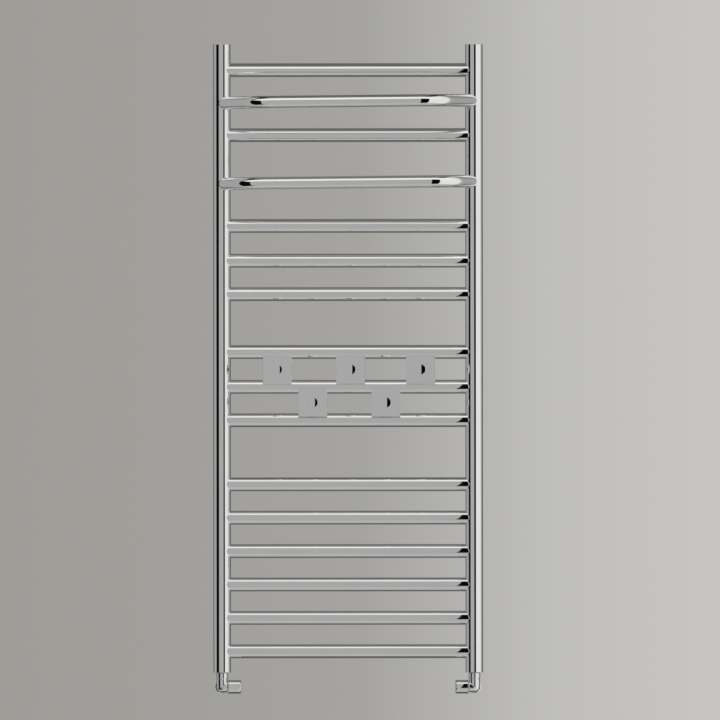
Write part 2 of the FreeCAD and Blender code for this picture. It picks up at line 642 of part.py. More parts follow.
clamps, hook_screws = [], []
for number, (x, (z, pitch, lift)) in enumerate(HOOKS, 1):
    seat = seat_depth(pitch, lift)
    front_y = f"({RAIL_Y} - {seat} - hook_plate_thickness)"
    clamp_y = f"({RAIL_Y} + {seat} + hook_clamp_thickness)"
    grip = f"(hook_plate_thickness + 2*{seat} + hook_clamp_thickness)"
    low_x = f"{x} - hook_plate_side/2"
    low_z = f"{z} - hook_plate_side/2"

    blank = doc.addObject("Part::Box", f"hook_{number}_blank")
    bind(blank, Length="hook_plate_side", Width="hook_plate_thickness", Height="hook_plate_side")
    place(blank, low_x, front_y, low_z)
    bore = cylinder(
        f"hook_{number}_bore",
        "hook_screw_diameter/2 + hook_hole_clearance",
        grip,
        x,
        clamp_y,
        z,
        TO_ROOM,
    )
    doc.recompute()
    face = blank.Shape.BoundBox.YMin
    front_edges = [
        i for i, edge in enumerate(blank.Shape.Edges, 1) if edge.BoundBox.YMax < face + 1e-6
    ]
    bevelled = doc.addObject("Part::Chamfer", f"hook_{number}_bevelled")
    bevelled.Base = blank
    bevel = size_of("hook_plate_bevel")
    bevelled.Edges = [(i, bevel, bevel) for i in front_edges]
    keep(f"hook_plate_{number}", cut(f"hook_plate_{number}", bevelled, bore))

    rod = cylinder(f"hook_{number}_rod", "hook_peg_diameter/2", "hook_peg_length", x, front_y, z, TO_ROOM)
    crown = doc.addObject("Part::Sphere", f"hook_{number}_crown")
    bind(crown, Radius=CROWN_RADIUS)
    place(crown, x, f"{front_y} - hook_peg_length + {CROWN_RADIUS}", z)
    domed = doc.addObject("Part::MultiCommon", f"hook_{number}_domed")
    domed.Shapes = [rod, crown]
    thread = cylinder(
        f"hook_{number}_thread", "hook_screw_diameter/2", "hook_screw_bite", x, front_y, z, TO_ROOM
    )
    keep(f"hook_peg_{number}", cut(f"hook_peg_{number}", domed, thread))

    strap = doc.addObject("Part::Box", f"hook_{number}_strap")
    bind(strap, Length="hook_clamp_width", Width="hook_clamp_thickness", Height="hook_plate_side")
    place(strap, f"{x} - hook_clamp_width/2", f"{clamp_y} - hook_clamp_thickness", low_z)
    clamps.append(cut(f"hook_{number}_clamp", strap, bore))

    shank = cylinder(
        f"hook_{number}_shank", "hook_screw_diameter/2", f"{grip} + hook_screw_bite", x, clamp_y, z, TO_ROOM
    )
    head = cylinder(f"hook_{number}_head", "hook_head_diameter/2", "hook_head_height", x, clamp_y, z, TO_WALL)
    socket = hexagon(
        f"hook_{number}_socket",
        "hook_head_hex",
        "hook_head_height/2",
        x,
        f"{clamp_y} + hook_head_height/2",
        z,
        TO_WALL,
    )
    screw = fuse(f"hook_{number}_screw_solid", shank, head)
    hook_screws.append(cut(f"hook_{number}_screw", screw, socket))
group("hook_clamps", clamps)
group("hook_screws", hook_screws)

# --- Valves --------------------------------------------------------------------------------------

SPIGOT = "(spigot_diameter/2)"
SEAL_FLOOR = f"({SPIGOT} - seal_groove_depth)"
SEAL_LOW = "(seal_from_end - spigot_length)"
SEAL_HIGH = f"({SEAL_LOW} + seal_groove_width)"
CLIP_FLOOR = f"({SPIGOT} - clip_groove_depth)"
CLIP_HIGH = "(-nut_gap - nut_lip - spigot_clearance)"
CLIP_LOW = f"({CLIP_HIGH} - clip_thickness)"
TAIL_OUTLINE = (
    ("tail_bore/2", "-spigot_length"),
    (SPIGOT, "-spigot_length"),
    (SPIGOT, SEAL_LOW),
    (SEAL_FLOOR, SEAL_LOW),
    (SEAL_FLOOR, SEAL_HIGH),
    (SPIGOT, SEAL_HIGH),
    (SPIGOT, CLIP_LOW),
    (CLIP_FLOOR, CLIP_LOW),
    (CLIP_FLOOR, CLIP_HIGH),
    (SPIGOT, CLIP_HIGH),
    (SPIGOT, "0"),
    ("tail_thread_diameter/2", "0"),
    ("tail_thread_diameter/2", "tail_thread_length"),
    ("tail_bore/2", "tail_thread_length"),
)
SPIGOT_SOCKET = f"({SPIGOT} + spigot_clearance)"
NUT_OUTLINE = (
    (SPIGOT_SOCKET, "0"),
    ("nut_diameter/2", "0"),
    ("nut_diameter/2", "nut_length"),
    ("neck_diameter/2", "nut_length"),
    ("neck_diameter/2", "nut_lip"),
    (SPIGOT_SOCKET, "nut_lip"),
)
REAR_LEG_OUTLINE = (
    ("0", "-shoulder_reach"),
    ("shoulder_diameter/2", "-shoulder_reach"),
    ("shoulder_diameter/2", "corner_reach"),
    ("0", "corner_reach"),
)
COMPRESSION_OUTLINE = (
    ("inlet_thread_diameter/2", "0"),
    ("inlet_nut_diameter/2", "0"),
    ("inlet_nut_diameter/2", "inlet_nut_length"),
    ("inlet_nut_mouth/2", "inlet_nut_length"),
    ("inlet_nut_mouth/2", "inlet_nut_length - inlet_nut_lip"),
    ("inlet_thread_diameter/2", "socket_depth + olive_gap + olive_length/2"),
)
OLIVE_OUTLINE = (
    ("pipe_socket_diameter/2", "0"),
    ("olive_nose_diameter/2", "0"),
    ("olive_diameter/2", "olive_length/3"),
    ("olive_nose_diameter/2", "olive_length"),
    ("pipe_socket_diameter/2", "olive_length"),
)
JUMPER_END = "(seat_rim_height - seat_back + jumper_lift + washer_thickness)"
BONNET_END = "(elbow_inward_length + bonnet_hex_length + bonnet_barrel_length)"
CAGE_END = "(bonnet_start + cage_depth)"
COLLAR_END = f"({CAGE_END} - spindle_collar_gap)"
HEAD_START = "(elbow_inward_length + head_gap)"
HEAD_WEB = f"({HEAD_START} + head_skirt_depth)"
SPINDLE_OUTLINE = (
    ("0", "spindle_thread_start"),
    ("spindle_thread_diameter/2", "spindle_thread_start"),
    ("spindle_thread_diameter/2", f"{COLLAR_END} - spindle_collar_length"),
    ("spindle_collar_diameter/2", f"{COLLAR_END} - spindle_collar_length"),
    ("spindle_collar_diameter/2", COLLAR_END),
    ("spindle_diameter/2", COLLAR_END),
    ("spindle_diameter/2", HEAD_WEB),
    ("0", HEAD_WEB),
)
HEAD_OUTLINE = (
    ("0", "head_skirt_depth"),
    ("head_diameter/2 - head_skirt_wall", "head_skirt_depth"),
    ("head_diameter/2 - head_skirt_wall", "0"),
    ("head_diameter/2", "0"),
    ("head_diameter/2", "head_length"),
    ("0", "head_length"),
)

def head_axis_rod(name, side, facing_in, radius, start, length, label):
    """A rod on a valve head's axis, from a distance inside the upright's axis and further inwards."""
    return cylinder(f"{name}_{label}", radius, length, inward(side, start), RAIL_Y, VALVE_Z, facing_in)


def valve_body(name, side, facing_in):
    """Three legs. The rear one reaches forward past the others and makes the rounded corner."""
    x = upright_x(side)
    along = partial(head_axis_rod, name, side, facing_in)
    top_leg = cylinder(
        f"{name}_top_leg", "elbow_diameter/2", "valve_drop - nut_gap - nut_length", x, RAIL_Y, VALVE_Z
    )
    neck = cylinder(
        f"{name}_neck",
        "neck_diameter/2",
        "valve_drop - nut_gap - nut_length + neck_length",
        x,
        RAIL_Y,
        VALVE_Z,
    )
    side_leg = along("elbow_diameter/2", "0", "elbow_inward_length", "side_leg")
    rear_leg = turned(f"{name}_rear_leg", REAR_LEG_OUTLINE, x, RAIL_Y, VALVE_Z, TO_ROOM)
    round_top(rear_leg, "corner_round")
    rear_thread = cylinder(
        f"{name}_rear_thread",
        "inlet_thread_diameter/2",
        "socket_floor + socket_depth",
        x,
        RAIL_Y,
        VALVE_Z,
        TO_WALL,
    )
    solid = fuse(f"{name}_body_solid", top_leg, neck, side_leg, rear_leg, rear_thread)

    spigot_socket = cylinder(
        f"{name}_spigot_socket",
        SPIGOT_SOCKET,
        "valve_drop",
        x,
        RAIL_Y,
        f"{BOTTOM_Z} - spigot_length - spigot_clearance",
    )
    gallery = cylinder(
        f"{name}_gallery",
        "gallery_diameter/2",
        "valve_drop + seat_hole_diameter/2 - spigot_length",
        inward(side, "-gallery_back"),
        RAIL_Y,
        f"{VALVE_Z} - seat_hole_diameter/2",
    )
    seat_hole = along("seat_hole_diameter/2", "-gallery_back", "gallery_back - seat_back/2", "seat_hole")
    chamber_rod = along("chamber_diameter/2", "-seat_back", "seat_back + elbow_inward_length", "chamber_rod")
    rim_rod = along("seat_rim_diameter/2", "-seat_back", "seat_rim_height", "rim_rod")
    rim_hole = along("seat_hole_diameter/2", "-seat_back", "seat_rim_height", "rim_hole")
    chamber = cut(f"{name}_chamber", chamber_rod, cut(f"{name}_rim", rim_rod, rim_hole))
    inlet_port = cylinder(
        f"{name}_inlet_port",
        "inlet_port_diameter/2",
        "socket_floor - inlet_port_start",
        inward(side, "inlet_port_inward"),
        f"{RAIL_Y} + inlet_port_start",
        VALVE_Z,
        TO_WALL,
    )
    pipe_socket = cylinder(
        f"{name}_pipe_socket",
        "pipe_socket_diameter/2",
        "socket_depth",
        x,
        f"{RAIL_Y} + socket_floor",
        VALVE_Z,
        TO_WALL,
    )
    label = f"valve_body_{name}"
    return keep(label, cut(label, solid, spigot_socket, gallery, seat_hole, chamber, inlet_port, pipe_socket))


left_body = valve_body(*SIDES[0])
right_body = doc.addObject("Part::Mirroring", "valve_body_right")
right_body.Source = left_body
right_body.Normal = Vector(1, 0, 0)
keep("valve_body_right", right_body)

tails, seals, clips, nuts, inlet_nuts, olives, bonnets, spindle_seals = ([] for _ in range(8))
for name, side, facing_in in SIDES:
    x = upright_x(side)

    along = partial(head_axis_rod, name, side, facing_in)

    # Tail, union nut, clip and seal
    tails.append(turned(f"{name}_tail", TAIL_OUTLINE, x, RAIL_Y, BOTTOM_Z))
    seal = doc.addObject("Part::Torus", f"{name}_tail_seal")
    bind(
        seal,
        Radius1=f"({SEAL_FLOOR} + {SPIGOT_SOCKET})/2",
        Radius2=f"({SPIGOT_SOCKET} - {SEAL_FLOOR})/2",
    )
    place(seal, x, RAIL_Y, f"{BOTTOM_Z} + ({SEAL_LOW} + {SEAL_HIGH})/2")
    seals.append(seal)
    clip_disc = cylinder(
        f"{name}_clip_disc", "clip_diameter/2", "clip_thickness", x, RAIL_Y, f"{BOTTOM_Z} + {CLIP_LOW}"
    )
    clip_hole = cylinder(
        f"{name}_clip_hole", CLIP_FLOOR, "clip_thickness", x, RAIL_Y, f"{BOTTOM_Z} + {CLIP_LOW}"
    )
    clip_slot = doc.addObject("Part::Box", f"{name}_clip_slot")
    bind(clip_slot, Length="clip_opening", Width="clip_diameter", Height="clip_thickness")
    place(clip_slot, f"{x} - clip_opening/2", RAIL_Y, f"{BOTTOM_Z} + {CLIP_LOW}")
    clips.append(cut(f"{name}_clip", clip_disc, clip_hole, clip_slot))
    nuts.append(turned(f"{name}_nut", NUT_OUTLINE, x, RAIL_Y, f"{BOTTOM_Z} - nut_gap", DOWN))

    # Pipe connection at the rear
    nut_y = f"({RAIL_Y} + socket_floor)"
    nut_round = turned(f"{name}_inlet_nut_round", COMPRESSION_OUTLINE, x, nut_y, VALVE_Z, TO_WALL)
    flats = doc.addObject("Part::Box", f"{name}_inlet_nut_flats")
    bind(flats, Length="inlet_nut_diameter", Width="inlet_nut_length", Height="inlet_nut_flats")
    place(flats, f"{x} - inlet_nut_diameter/2", nut_y, f"{VALVE_Z} - inlet_nut_flats/2")
    inlet_nut = doc.addObject("Part::MultiCommon", f"{name}_inlet_nut")
    inlet_nut.Shapes = [nut_round, flats]
    inlet_nuts.append(inlet_nut)
    olive_y = f"{nut_y} + socket_depth + olive_gap"
    olives.append(turned(f"{name}_olive", OLIVE_OUTLINE, x, olive_y, VALVE_Z, TO_WALL))

    # Bonnet with its square cage, and the spindle's seal
    bonnet_rod = along(
        "chamber_diameter/2", "bonnet_start", "elbow_inward_length - bonnet_start", "bonnet_rod"
    )
    start = inward(side, "elbow_inward_length")
    bonnet_hex = hexagon(
        f"{name}_bonnet_hex", "bonnet_hex", "bonnet_hex_length", start, RAIL_Y, VALVE_Z, facing_in
    )
    barrel = along(
        "bonnet_barrel_diameter/2",
        "elbow_inward_length",
        "bonnet_hex_length + bonnet_barrel_length",
        "bonnet_barrel",
    )
    shaft_hole = along(
        "spindle_diameter/2 + running_clearance", "bonnet_start", f"{BONNET_END} - bonnet_start", "shaft_hole"
    )
    cage = square_bar(
        f"{name}_cage",
        "jumper_square + 2*jumper_clearance",
        "cage_depth",
        inward(side, "bonnet_start"),
        RAIL_Y,
        VALVE_Z,
        facing_in,
    )
    cage_mouth = along("cage_mouth_diameter/2", "bonnet_start", "cage_mouth_depth", "cage_mouth")
    seal_start = f"{BONNET_END} - bonnet_barrel_length/2 - spindle_seal_width/2"
    seal_groove = along(
        "spindle_diameter/2 + running_clearance + spindle_seal_depth",
        seal_start,
        "spindle_seal_width",
        "seal_groove",
    )
    bonnet_solid = fuse(f"{name}_bonnet_solid", bonnet_rod, bonnet_hex, barrel)
    bonnets.append(cut(f"{name}_bonnet", bonnet_solid, shaft_hole, cage, cage_mouth, seal_groove))
    ring = doc.addObject("Part::Torus", f"{name}_spindle_seal")
    bind(
        ring,
        Radius1="spindle_diameter/2 + running_clearance + spindle_seal_depth/2",
        Radius2="spindle_seal_depth/2",
    )
    place(ring, inward(side, f"{seal_start} + spindle_seal_width/2"), RAIL_Y, VALVE_Z, facing_in)
    spindle_seals.append(ring)

    # Spindle and head turn together
    shaft = turned(f"{name}_shaft", SPINDLE_OUTLINE, x, RAIL_Y, VALVE_Z, facing_in)
    drive = square_bar(
        f"{name}_drive",
        "spindle_square",
        "spindle_square_length",
        inward(side, HEAD_WEB),
        RAIL_Y,
        VALVE_Z,
        facing_in,
    )
    label = f"valve_spindle_{name}"
    keep(label, fuse(label, shaft, drive))
    knob = turned(f"{name}_knob", HEAD_OUTLINE, inward(side, HEAD_START), RAIL_Y, VALVE_Z, facing_in)
    round_top(knob, "head_round")
    grub_x = inward(side, f"{HEAD_WEB} + head_grub_from_web")
    grub_hole = cylinder(
        f"{name}_head_grub_hole", "head_grub_diameter/2", "head_diameter", grub_x, RAIL_Y, VALVE_Z, DOWN
    )
    label = f"valve_head_{name}"
    keep(label, cut(label, knob, drive, grub_hole))
    label = f"head_grub_screw_{name}"
    grub_z = f"{VALVE_Z} - spindle_square/2"
    keep(label, cylinder(label, "head_grub_diameter/2", "head_grub_length", grub_x, RAIL_Y, grub_z, DOWN))

    # Jumper and washer slide in the bonnet's cage
    jumper_start = inward(side, JUMPER_END)
    block = square_bar(
        f"{name}_jumper_block", "jumper_square", "jumper_length", jumper_start, RAIL_Y, VALVE_Z, facing_in
    )
    thread = along(
        "spindle_thread_diameter/2 + running_clearance",
        f"{JUMPER_END} + jumper_floor",
        "jumper_length",
        "jumper_thread",
    )
    label = f"valve_jumper_{name}"
    keep(label, cut(label, block, thread))
    label = f"jumper_washer_{name}"
    washer = along("washer_diameter/2", f"{JUMPER_END} - washer_thickness", "washer_thickness", label)
    keep(label, washer)

group("valve_tails", tails)
group("tail_seals", seals)
group("union_clips", clips)
group("union_nuts", nuts)
group("compression_nuts", inlet_nuts)
group("olives", olives)
group("valve_bonnets", bonnets)
group("spindle_seals", spindle_seals)

# --- Check and write -----------------------------------------------------------------------------

doc.recompute()
for obj in doc.Objects:
    if "Invalid" in obj.State or "Error" in obj.State:
        raise RuntimeError(f"{obj.Label} failed to build: {obj.State}")
for label, obj in nodes.items():
    if obj.Shape.isNull() or not obj.Shape.isValid() or not obj.Shape.Solids:
        raise RuntimeError(f"{label} has no valid solid")

os.makedirs("parts", exist_ok=True)
for label, obj in nodes.items():
    obj.Shape.exportStep(f"parts/{label}.step")
print(f"{len(nodes)} pieces written")
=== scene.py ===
"""Looks of a wall-hung ladder towel rail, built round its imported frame.

Metres. +X is to the right of someone facing the wall, +Y goes into the wall, +Z is up.
"""

import logging
import math
from collections.abc import Iterable, Sequence
from dataclasses import dataclass, field
from enum import Enum

import bmesh
import bpy
from mathutils import Matrix, Vector


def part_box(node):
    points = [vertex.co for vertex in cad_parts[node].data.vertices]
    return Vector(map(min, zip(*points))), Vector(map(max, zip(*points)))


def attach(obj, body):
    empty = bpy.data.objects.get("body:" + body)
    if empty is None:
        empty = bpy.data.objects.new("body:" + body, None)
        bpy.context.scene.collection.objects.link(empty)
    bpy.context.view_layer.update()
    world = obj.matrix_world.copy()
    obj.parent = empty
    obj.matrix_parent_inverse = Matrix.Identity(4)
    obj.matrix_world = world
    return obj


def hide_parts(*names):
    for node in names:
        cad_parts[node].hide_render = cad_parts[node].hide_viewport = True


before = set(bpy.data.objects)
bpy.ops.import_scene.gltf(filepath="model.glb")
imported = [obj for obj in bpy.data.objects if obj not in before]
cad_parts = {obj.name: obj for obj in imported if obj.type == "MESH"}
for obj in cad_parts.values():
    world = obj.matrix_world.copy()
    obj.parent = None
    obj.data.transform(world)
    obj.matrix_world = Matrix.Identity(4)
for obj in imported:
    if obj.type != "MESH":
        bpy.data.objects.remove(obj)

LOG = logging.getLogger("towel_rail")
MM = 0.001
TURN = 2 * math.pi
FINE = 96  # corners round a tube or a turned piece
ARC_STEPS = 6  # steps round a rounded corner
SHARP_ANGLE = math.radians(32)  # edges that turn more than this stay crisp
AROUND = [TURN * i / FINE for i in range(FINE)]
TINY = 1e-9
FIT_GAP = 0.02  # play between pieces that fit closely, in millimetres
HOOKS = 5
WEAK, STRONG = 0.3, 0.7  # the middle range of a noise pattern
MIX_ONE, MIX_TWO, MIX_RESULT = 6, 7, 2  # the colour sockets of a Mix node
OFF_GREY = 0.99  # how far the weaker channel of a near-neutral grey falls
DEGREES = 180 / math.pi

Rgb = tuple[float, float, float]


# --- Finishes ------------------------------------------------------------------------------------


class Grain(Enum):
    """Which way a piece was drawn and polished."""

    ACROSS = (1.0, 9.0, 9.0)
    UPRIGHT = (9.0, 9.0, 1.0)
    EVEN = (3.0, 3.0, 3.0)


class NodeDesk:
    """Lays out one material's nodes."""

    def __init__(self, name: str) -> None:
        """Starts an empty material.

        Args:
            name: The material's name.
        """
        self.material = bpy.data.materials.new(name)
        self.material.use_nodes = True
        self.tree = self.material.node_tree
        self.tree.nodes.clear()

    def add(self, kind: str, **sockets: object) -> bpy.types.Node:
        """Adds a node and fills its inputs.

        Args:
            kind: The node's type name.
            sockets: Input names, with underscores for spaces, and a value or an output to link.

        Returns:
            The new node.
        """
        node = self.tree.nodes.new(kind)
        for name, value in sockets.items():
            self.fill(node.inputs[name.replace("_", " ")], value)
        return node

    def fill(self, socket: bpy.types.NodeSocket, value: object) -> None:
        """Links an output to an input, or sets the input to a value.

        Args:
            socket: The input.
            value: The output or the value.
        """
        if isinstance(value, bpy.types.NodeSocket):
            self.tree.links.new(value, socket)
        else:
            socket.default_value = value

    def maths(self, kind: str, *values: object) -> bpy.types.NodeSocket:
        """Works out a sum of one or two values.

        Args:
            kind: The sum, such as ADD or ARCSINE.
            values: Numbers or outputs.

        Returns:
            The result.
        """
        node = self.tree.nodes.new("ShaderNodeMath")
        node.operation = kind
        for index, value in enumerate(values):
            self.fill(node.inputs[index], value)
        return node.outputs[0]

    def remap(
        self, value: bpy.types.NodeSocket, start: float, end: float, low: float, high: float
    ) -> bpy.types.NodeSocket:
        """Maps one range of a value onto another and holds it at both ends.

        Args:
            value: The value.
            start: Where its range starts.
            end: Where its range ends.
            low: The result at the start.
            high: The result at the end.

        Returns:
            The mapped value.
        """
        node = self.add(
            "ShaderNodeMapRange", Value=value, From_Min=start, From_Max=end, To_Min=low, To_Max=high
        )
        return node.outputs[0]

    def gate(self, value: bpy.types.NodeSocket, low: float, high: float, edge: float) -> bpy.types.NodeSocket:
        """Marks a range of a value, with soft edges.

        Args:
            value: The value.
            low: Where the range starts.
            high: Where it ends.
            edge: Half the width of its edges.

        Returns:
            1 inside the range and 0 outside.
        """
        rise = self.remap(value, low - edge, low + edge, 0.0, 1.0)
        fall = self.remap(value, high - edge, high + edge, 1.0, 0.0)
        return self.maths("MULTIPLY", rise, fall)

    def ramp(self, value: bpy.types.NodeSocket, stops: Sequence[tuple[float, Rgb]]) -> bpy.types.NodeSocket:
        """Reads a colour from a ramp.

        Args:
            value: Where on the ramp, 0 to 1.
            stops: Places on the ramp and their colours, in order.

        Returns:
            The colour.
        """
        node = self.add("ShaderNodeValToRGB", Fac=value)
        fill_ramp(node, stops)
        return node.outputs[0]

    def speckle(self, coords: bpy.types.NodeSocket, scale: float, detail: float) -> bpy.types.NodeSocket:
        """Adds a noise pattern.

        Args:
            coords: Where on the piece it is read.
            scale: Lumps per metre.
            detail: How much finer noise lies on it.

        Returns:
            The pattern's strength, 0 to 1.
        """
        node = self.add("ShaderNodeTexNoise", Vector=coords, Scale=scale, Detail=detail, Roughness=0.55)
        return node.outputs[0]

    def spread(self, value: bpy.types.NodeSocket, low: float, high: float) -> bpy.types.NodeSocket:
        """Maps a noise pattern's middle range onto low to high.

        Args:
            value: The pattern.
            low: The result where the pattern is weak.
            high: The result where it is strong.

        Returns:
            The mapped value.
        """
        return self.remap(value, WEAK, STRONG, low, high)

    def blend(self, share: bpy.types.NodeSocket, one: object, two: object) -> bpy.types.NodeSocket:
        """Mixes two colours.

        Args:
            share: How much of the second.
            one: The first colour, or an output that gives it.
            two: The second colour, or an output that gives it.

        Returns:
            The mixed colour.
        """
        node = self.tree.nodes.new("ShaderNodeMix")
        node.data_type = "RGBA"
        self.fill(node.inputs[0], share)
        for index, tint in ((MIX_ONE, one), (MIX_TWO, two)):
            self.fill(node.inputs[index], (*tint, 1.0) if isinstance(tint, tuple) else tint)
        return node.outputs[MIX_RESULT]

    def surface(self, shader: bpy.types.NodeSocket) -> bpy.types.Material:
        """Links a shader to the output.

        Args:
            shader: The shader's output.

        Returns:
            The finished material.
        """
        self.add("ShaderNodeOutputMaterial", Surface=shader)
        return self.material


@dataclass(frozen=True)
class Finish:
    """A surface: two tints that mix in soft patches, its gloss, its polishing lines and its waviness."""

    name: str
    tint: Rgb
    patch_tint: Rgb
    gloss: tuple[float, float]
    metallic: float = 1.0
    patches: float = 14.0
    lines: float = 420.0
    wave: float = 0.004
    wave_scale: float = 34.0
    made: dict[Grain, bpy.types.Material] = field(default_factory=dict, compare=False)

    def material(self, grain: Grain = Grain.EVEN) -> bpy.types.Material:
        """Gives this finish's material, made once for each grain.

        Args:
            grain: The way the piece was polished.

        Returns:
            The material.
        """
        if grain not in self.made:
            self.made[grain] = self.build(grain)
        return self.made[grain]

    def build(self, grain: Grain) -> bpy.types.Material:
        """Makes the material's nodes.

        Args:
            grain: The way the piece was polished.

        Returns:
            The material.
        """
        desk = NodeDesk(f"{self.name}_{grain.name.lower()}")
        place = desk.add("ShaderNodeTexCoord").outputs["Object"]
        drawn = desk.add("ShaderNodeMapping", Vector=place, Scale=grain.value).outputs[0]
        patches = desk.speckle(place, self.patches, 3.0)
        lines = desk.speckle(drawn, self.lines, 2.0)
        smears = desk.speckle(place, self.patches * 5, 4.0)
        tint = desk.blend(desk.spread(patches, 0.0, 1.0), self.tint, self.patch_tint)
        low, high = self.gloss
        middle = (low + high) / 2
        part = desk.spread(lines, 0.0, middle - low)
        rest = desk.spread(smears, low, low + high - middle)
        swell = desk.speckle(drawn, self.wave_scale, 1.0)
        bump = desk.add("ShaderNodeBump", Height=swell, Strength=1.0, Distance=self.wave * MM)
        shader = desk.add(
            "ShaderNodeBsdfPrincipled",
            Base_Color=tint,
            Metallic=self.metallic,
            Roughness=desk.maths("ADD", part, rest),
            Normal=bump.outputs[0],
        )
        return desk.surface(shader.outputs[0])


CHROME = Finish("chrome", (0.87, 0.87, 0.87), (0.84, 0.845, 0.85), (0.004, 0.026), wave=0.002)
CHROME_CAST = Finish(
    "chrome_cast", (0.85, 0.855, 0.865), (0.81, 0.82, 0.84), (0.02, 0.08), wave=0.006, wave_scale=90
)
BRASS = Finish(
    "brass", (0.78, 0.58, 0.30), (0.66, 0.47, 0.22), (0.18, 0.36), wave=0.01, wave_scale=260
)
PLATED_BRASS = Finish(
    "plated_brass", (0.30, 0.29, 0.27), (0.24, 0.23, 0.21), (0.2, 0.4), wave=0.01, wave_scale=260
)
PLAIN_STEEL = Finish(
    "plain_steel", (0.46, 0.46, 0.455), (0.38, 0.375, 0.37), (0.28, 0.46), wave=0.012, wave_scale=300
)
BLACK_STEEL = Finish(
    "black_steel", (0.11, 0.11, 0.115), (0.07, 0.07, 0.075), (0.3, 0.5), wave=0.012, wave_scale=300
)
RUBBER = Finish(
    "rubber", (0.028, 0.028, 0.03), (0.045, 0.044, 0.043), (0.62, 0.84), 0.0, wave=0.03, wave_scale=700
)


# --- Shapes --------------------------------------------------------------------------------------


@dataclass(frozen=True)
class Section:
    """One ring of a turned piece: its half width, its place along the axis, its number of flats."""

    half: float
    along: float
    flats: int = 0
    clip: float = math.inf

    def reach(self, angle: float) -> float:
        """Gives the outline's distance from the axis.

        Args:
            angle: The direction, in radians.

        Returns:
            The distance.
        """
        if not self.flats:
            return self.half
        pitch = TURN / self.flats
        off = (angle + pitch / 2) % pitch - pitch / 2
        return min(self.half / max(math.cos(off), TINY), self.clip)


def softened(corners: Sequence[tuple[float, ...]], looped: bool = False) -> list[Section]:
    """Rounds the corners of half a turned piece's section.

    Args:
        corners: Half width, place along the axis and, where it is rounded, the radius. Millimetres.
        looped: True where the section is a closed loop round a hole.

    Returns:
        The rings, in metres.
    """
    count = len(corners)
    rings: list[Section] = []
    for index, (half, along, *rest) in enumerate(corners):
        here = Vector((half, along))
        inside = looped or 0 < index < count - 1
        if not rest or not inside:
            rings.append(Section(half * MM, along * MM))
            continue
        before = (Vector(corners[index - 1][:2]) - here).normalized()
        after = (Vector(corners[(index + 1) % count][:2]) - here).normalized()
        spread = math.acos(max(-1.0, min(1.0, before.dot(after))))
        middle = (before + after).normalized() * (rest[0] / math.sin(spread / 2)) + here
        leg = rest[0] / math.tan(spread / 2)
        start, end = here + before * leg - middle, here + after * leg - middle
        sweep = math.pi - spread
        for step in range(ARC_STEPS + 1):
            turn = sweep * step / ARC_STEPS
            point = middle + (start * math.sin(sweep - turn) + end * math.sin(turn)) / math.sin(sweep)
            rings.append(Section(point.x * MM, point.y * MM))
    return rings


@dataclass(frozen=True)
class Axis:
    """A line in space with two directions square to it."""

    origin: Vector
    along: Vector
    side: Vector

    @property
    def other(self) -> Vector:
        """The second direction square to the line."""
        return self.along.cross(self.side)

    def spot(self, reach: float, angle: float, distance: float = 0.0) -> Vector:
        """Gives a point round the line.

        Args:
            reach: Distance from the line.
            angle: Direction round it, from side towards other.
            distance: Distance along it.

        Returns:
            The point.
        """
        around = self.side * math.cos(angle) + self.other * math.sin(angle)
        return self.origin + self.along * distance + around * reach


def up_from(x: float, y: float, z: float) -> Axis:
    """An axis that points up from a point."""
    return Axis(Vector((x, y, z)), Vector((0, 0, 1)), Vector((1, 0, 0)))


def down_from(x: float, y: float, z: float) -> Axis:
    """An axis that points down from a point."""
    return Axis(Vector((x, y, z)), Vector((0, 0, -1)), Vector((1, 0, 0)))


def wallward(x: float, y: float, z: float) -> Axis:
    """An axis that points at the wall from a point."""
    return Axis(Vector((x, y, z)), Vector((0, 1, 0)), Vector((0, 0, 1)))


def roomward(x: float, y: float, z: float) -> Axis:
    """An axis that points into the room from a point."""
    return Axis(Vector((x, y, z)), Vector((0, -1, 0)), Vector((0, 0, 1)))


def sideways(x: float, y: float, z: float, way: float) -> Axis:
    """An axis that points along X, in the direction that way's sign gives."""
    return Axis(Vector((x, y, z)), Vector((math.copysign(1.0, way), 0, 0)), Vector((0, 0, 1)))


@dataclass(frozen=True)
class Post:
    """An upright's outside, which shapes the ends of what is welded to it."""

    x: float
    y: float
    radius: float

    def meet(self, line: Axis, reach: float, angle: float) -> float:
        """Finds where a line beside an axis leaves the post.

        Args:
            line: The axis of the tube that joins the post.
            reach: The line's distance from that axis.
            angle: Its direction round the axis.

        Returns:
            The distance along the axis.
        """
        start = line.spot(reach, angle)
        gap = Vector((start.x - self.x, start.y - self.y))
        way = Vector((line.along.x, line.along.y))
        square = way.length_squared
        half = gap.dot(way)
        inside = max(0.0, half * half - square * (gap.length_squared - self.radius**2))
        return (-half + math.sqrt(inside)) / square


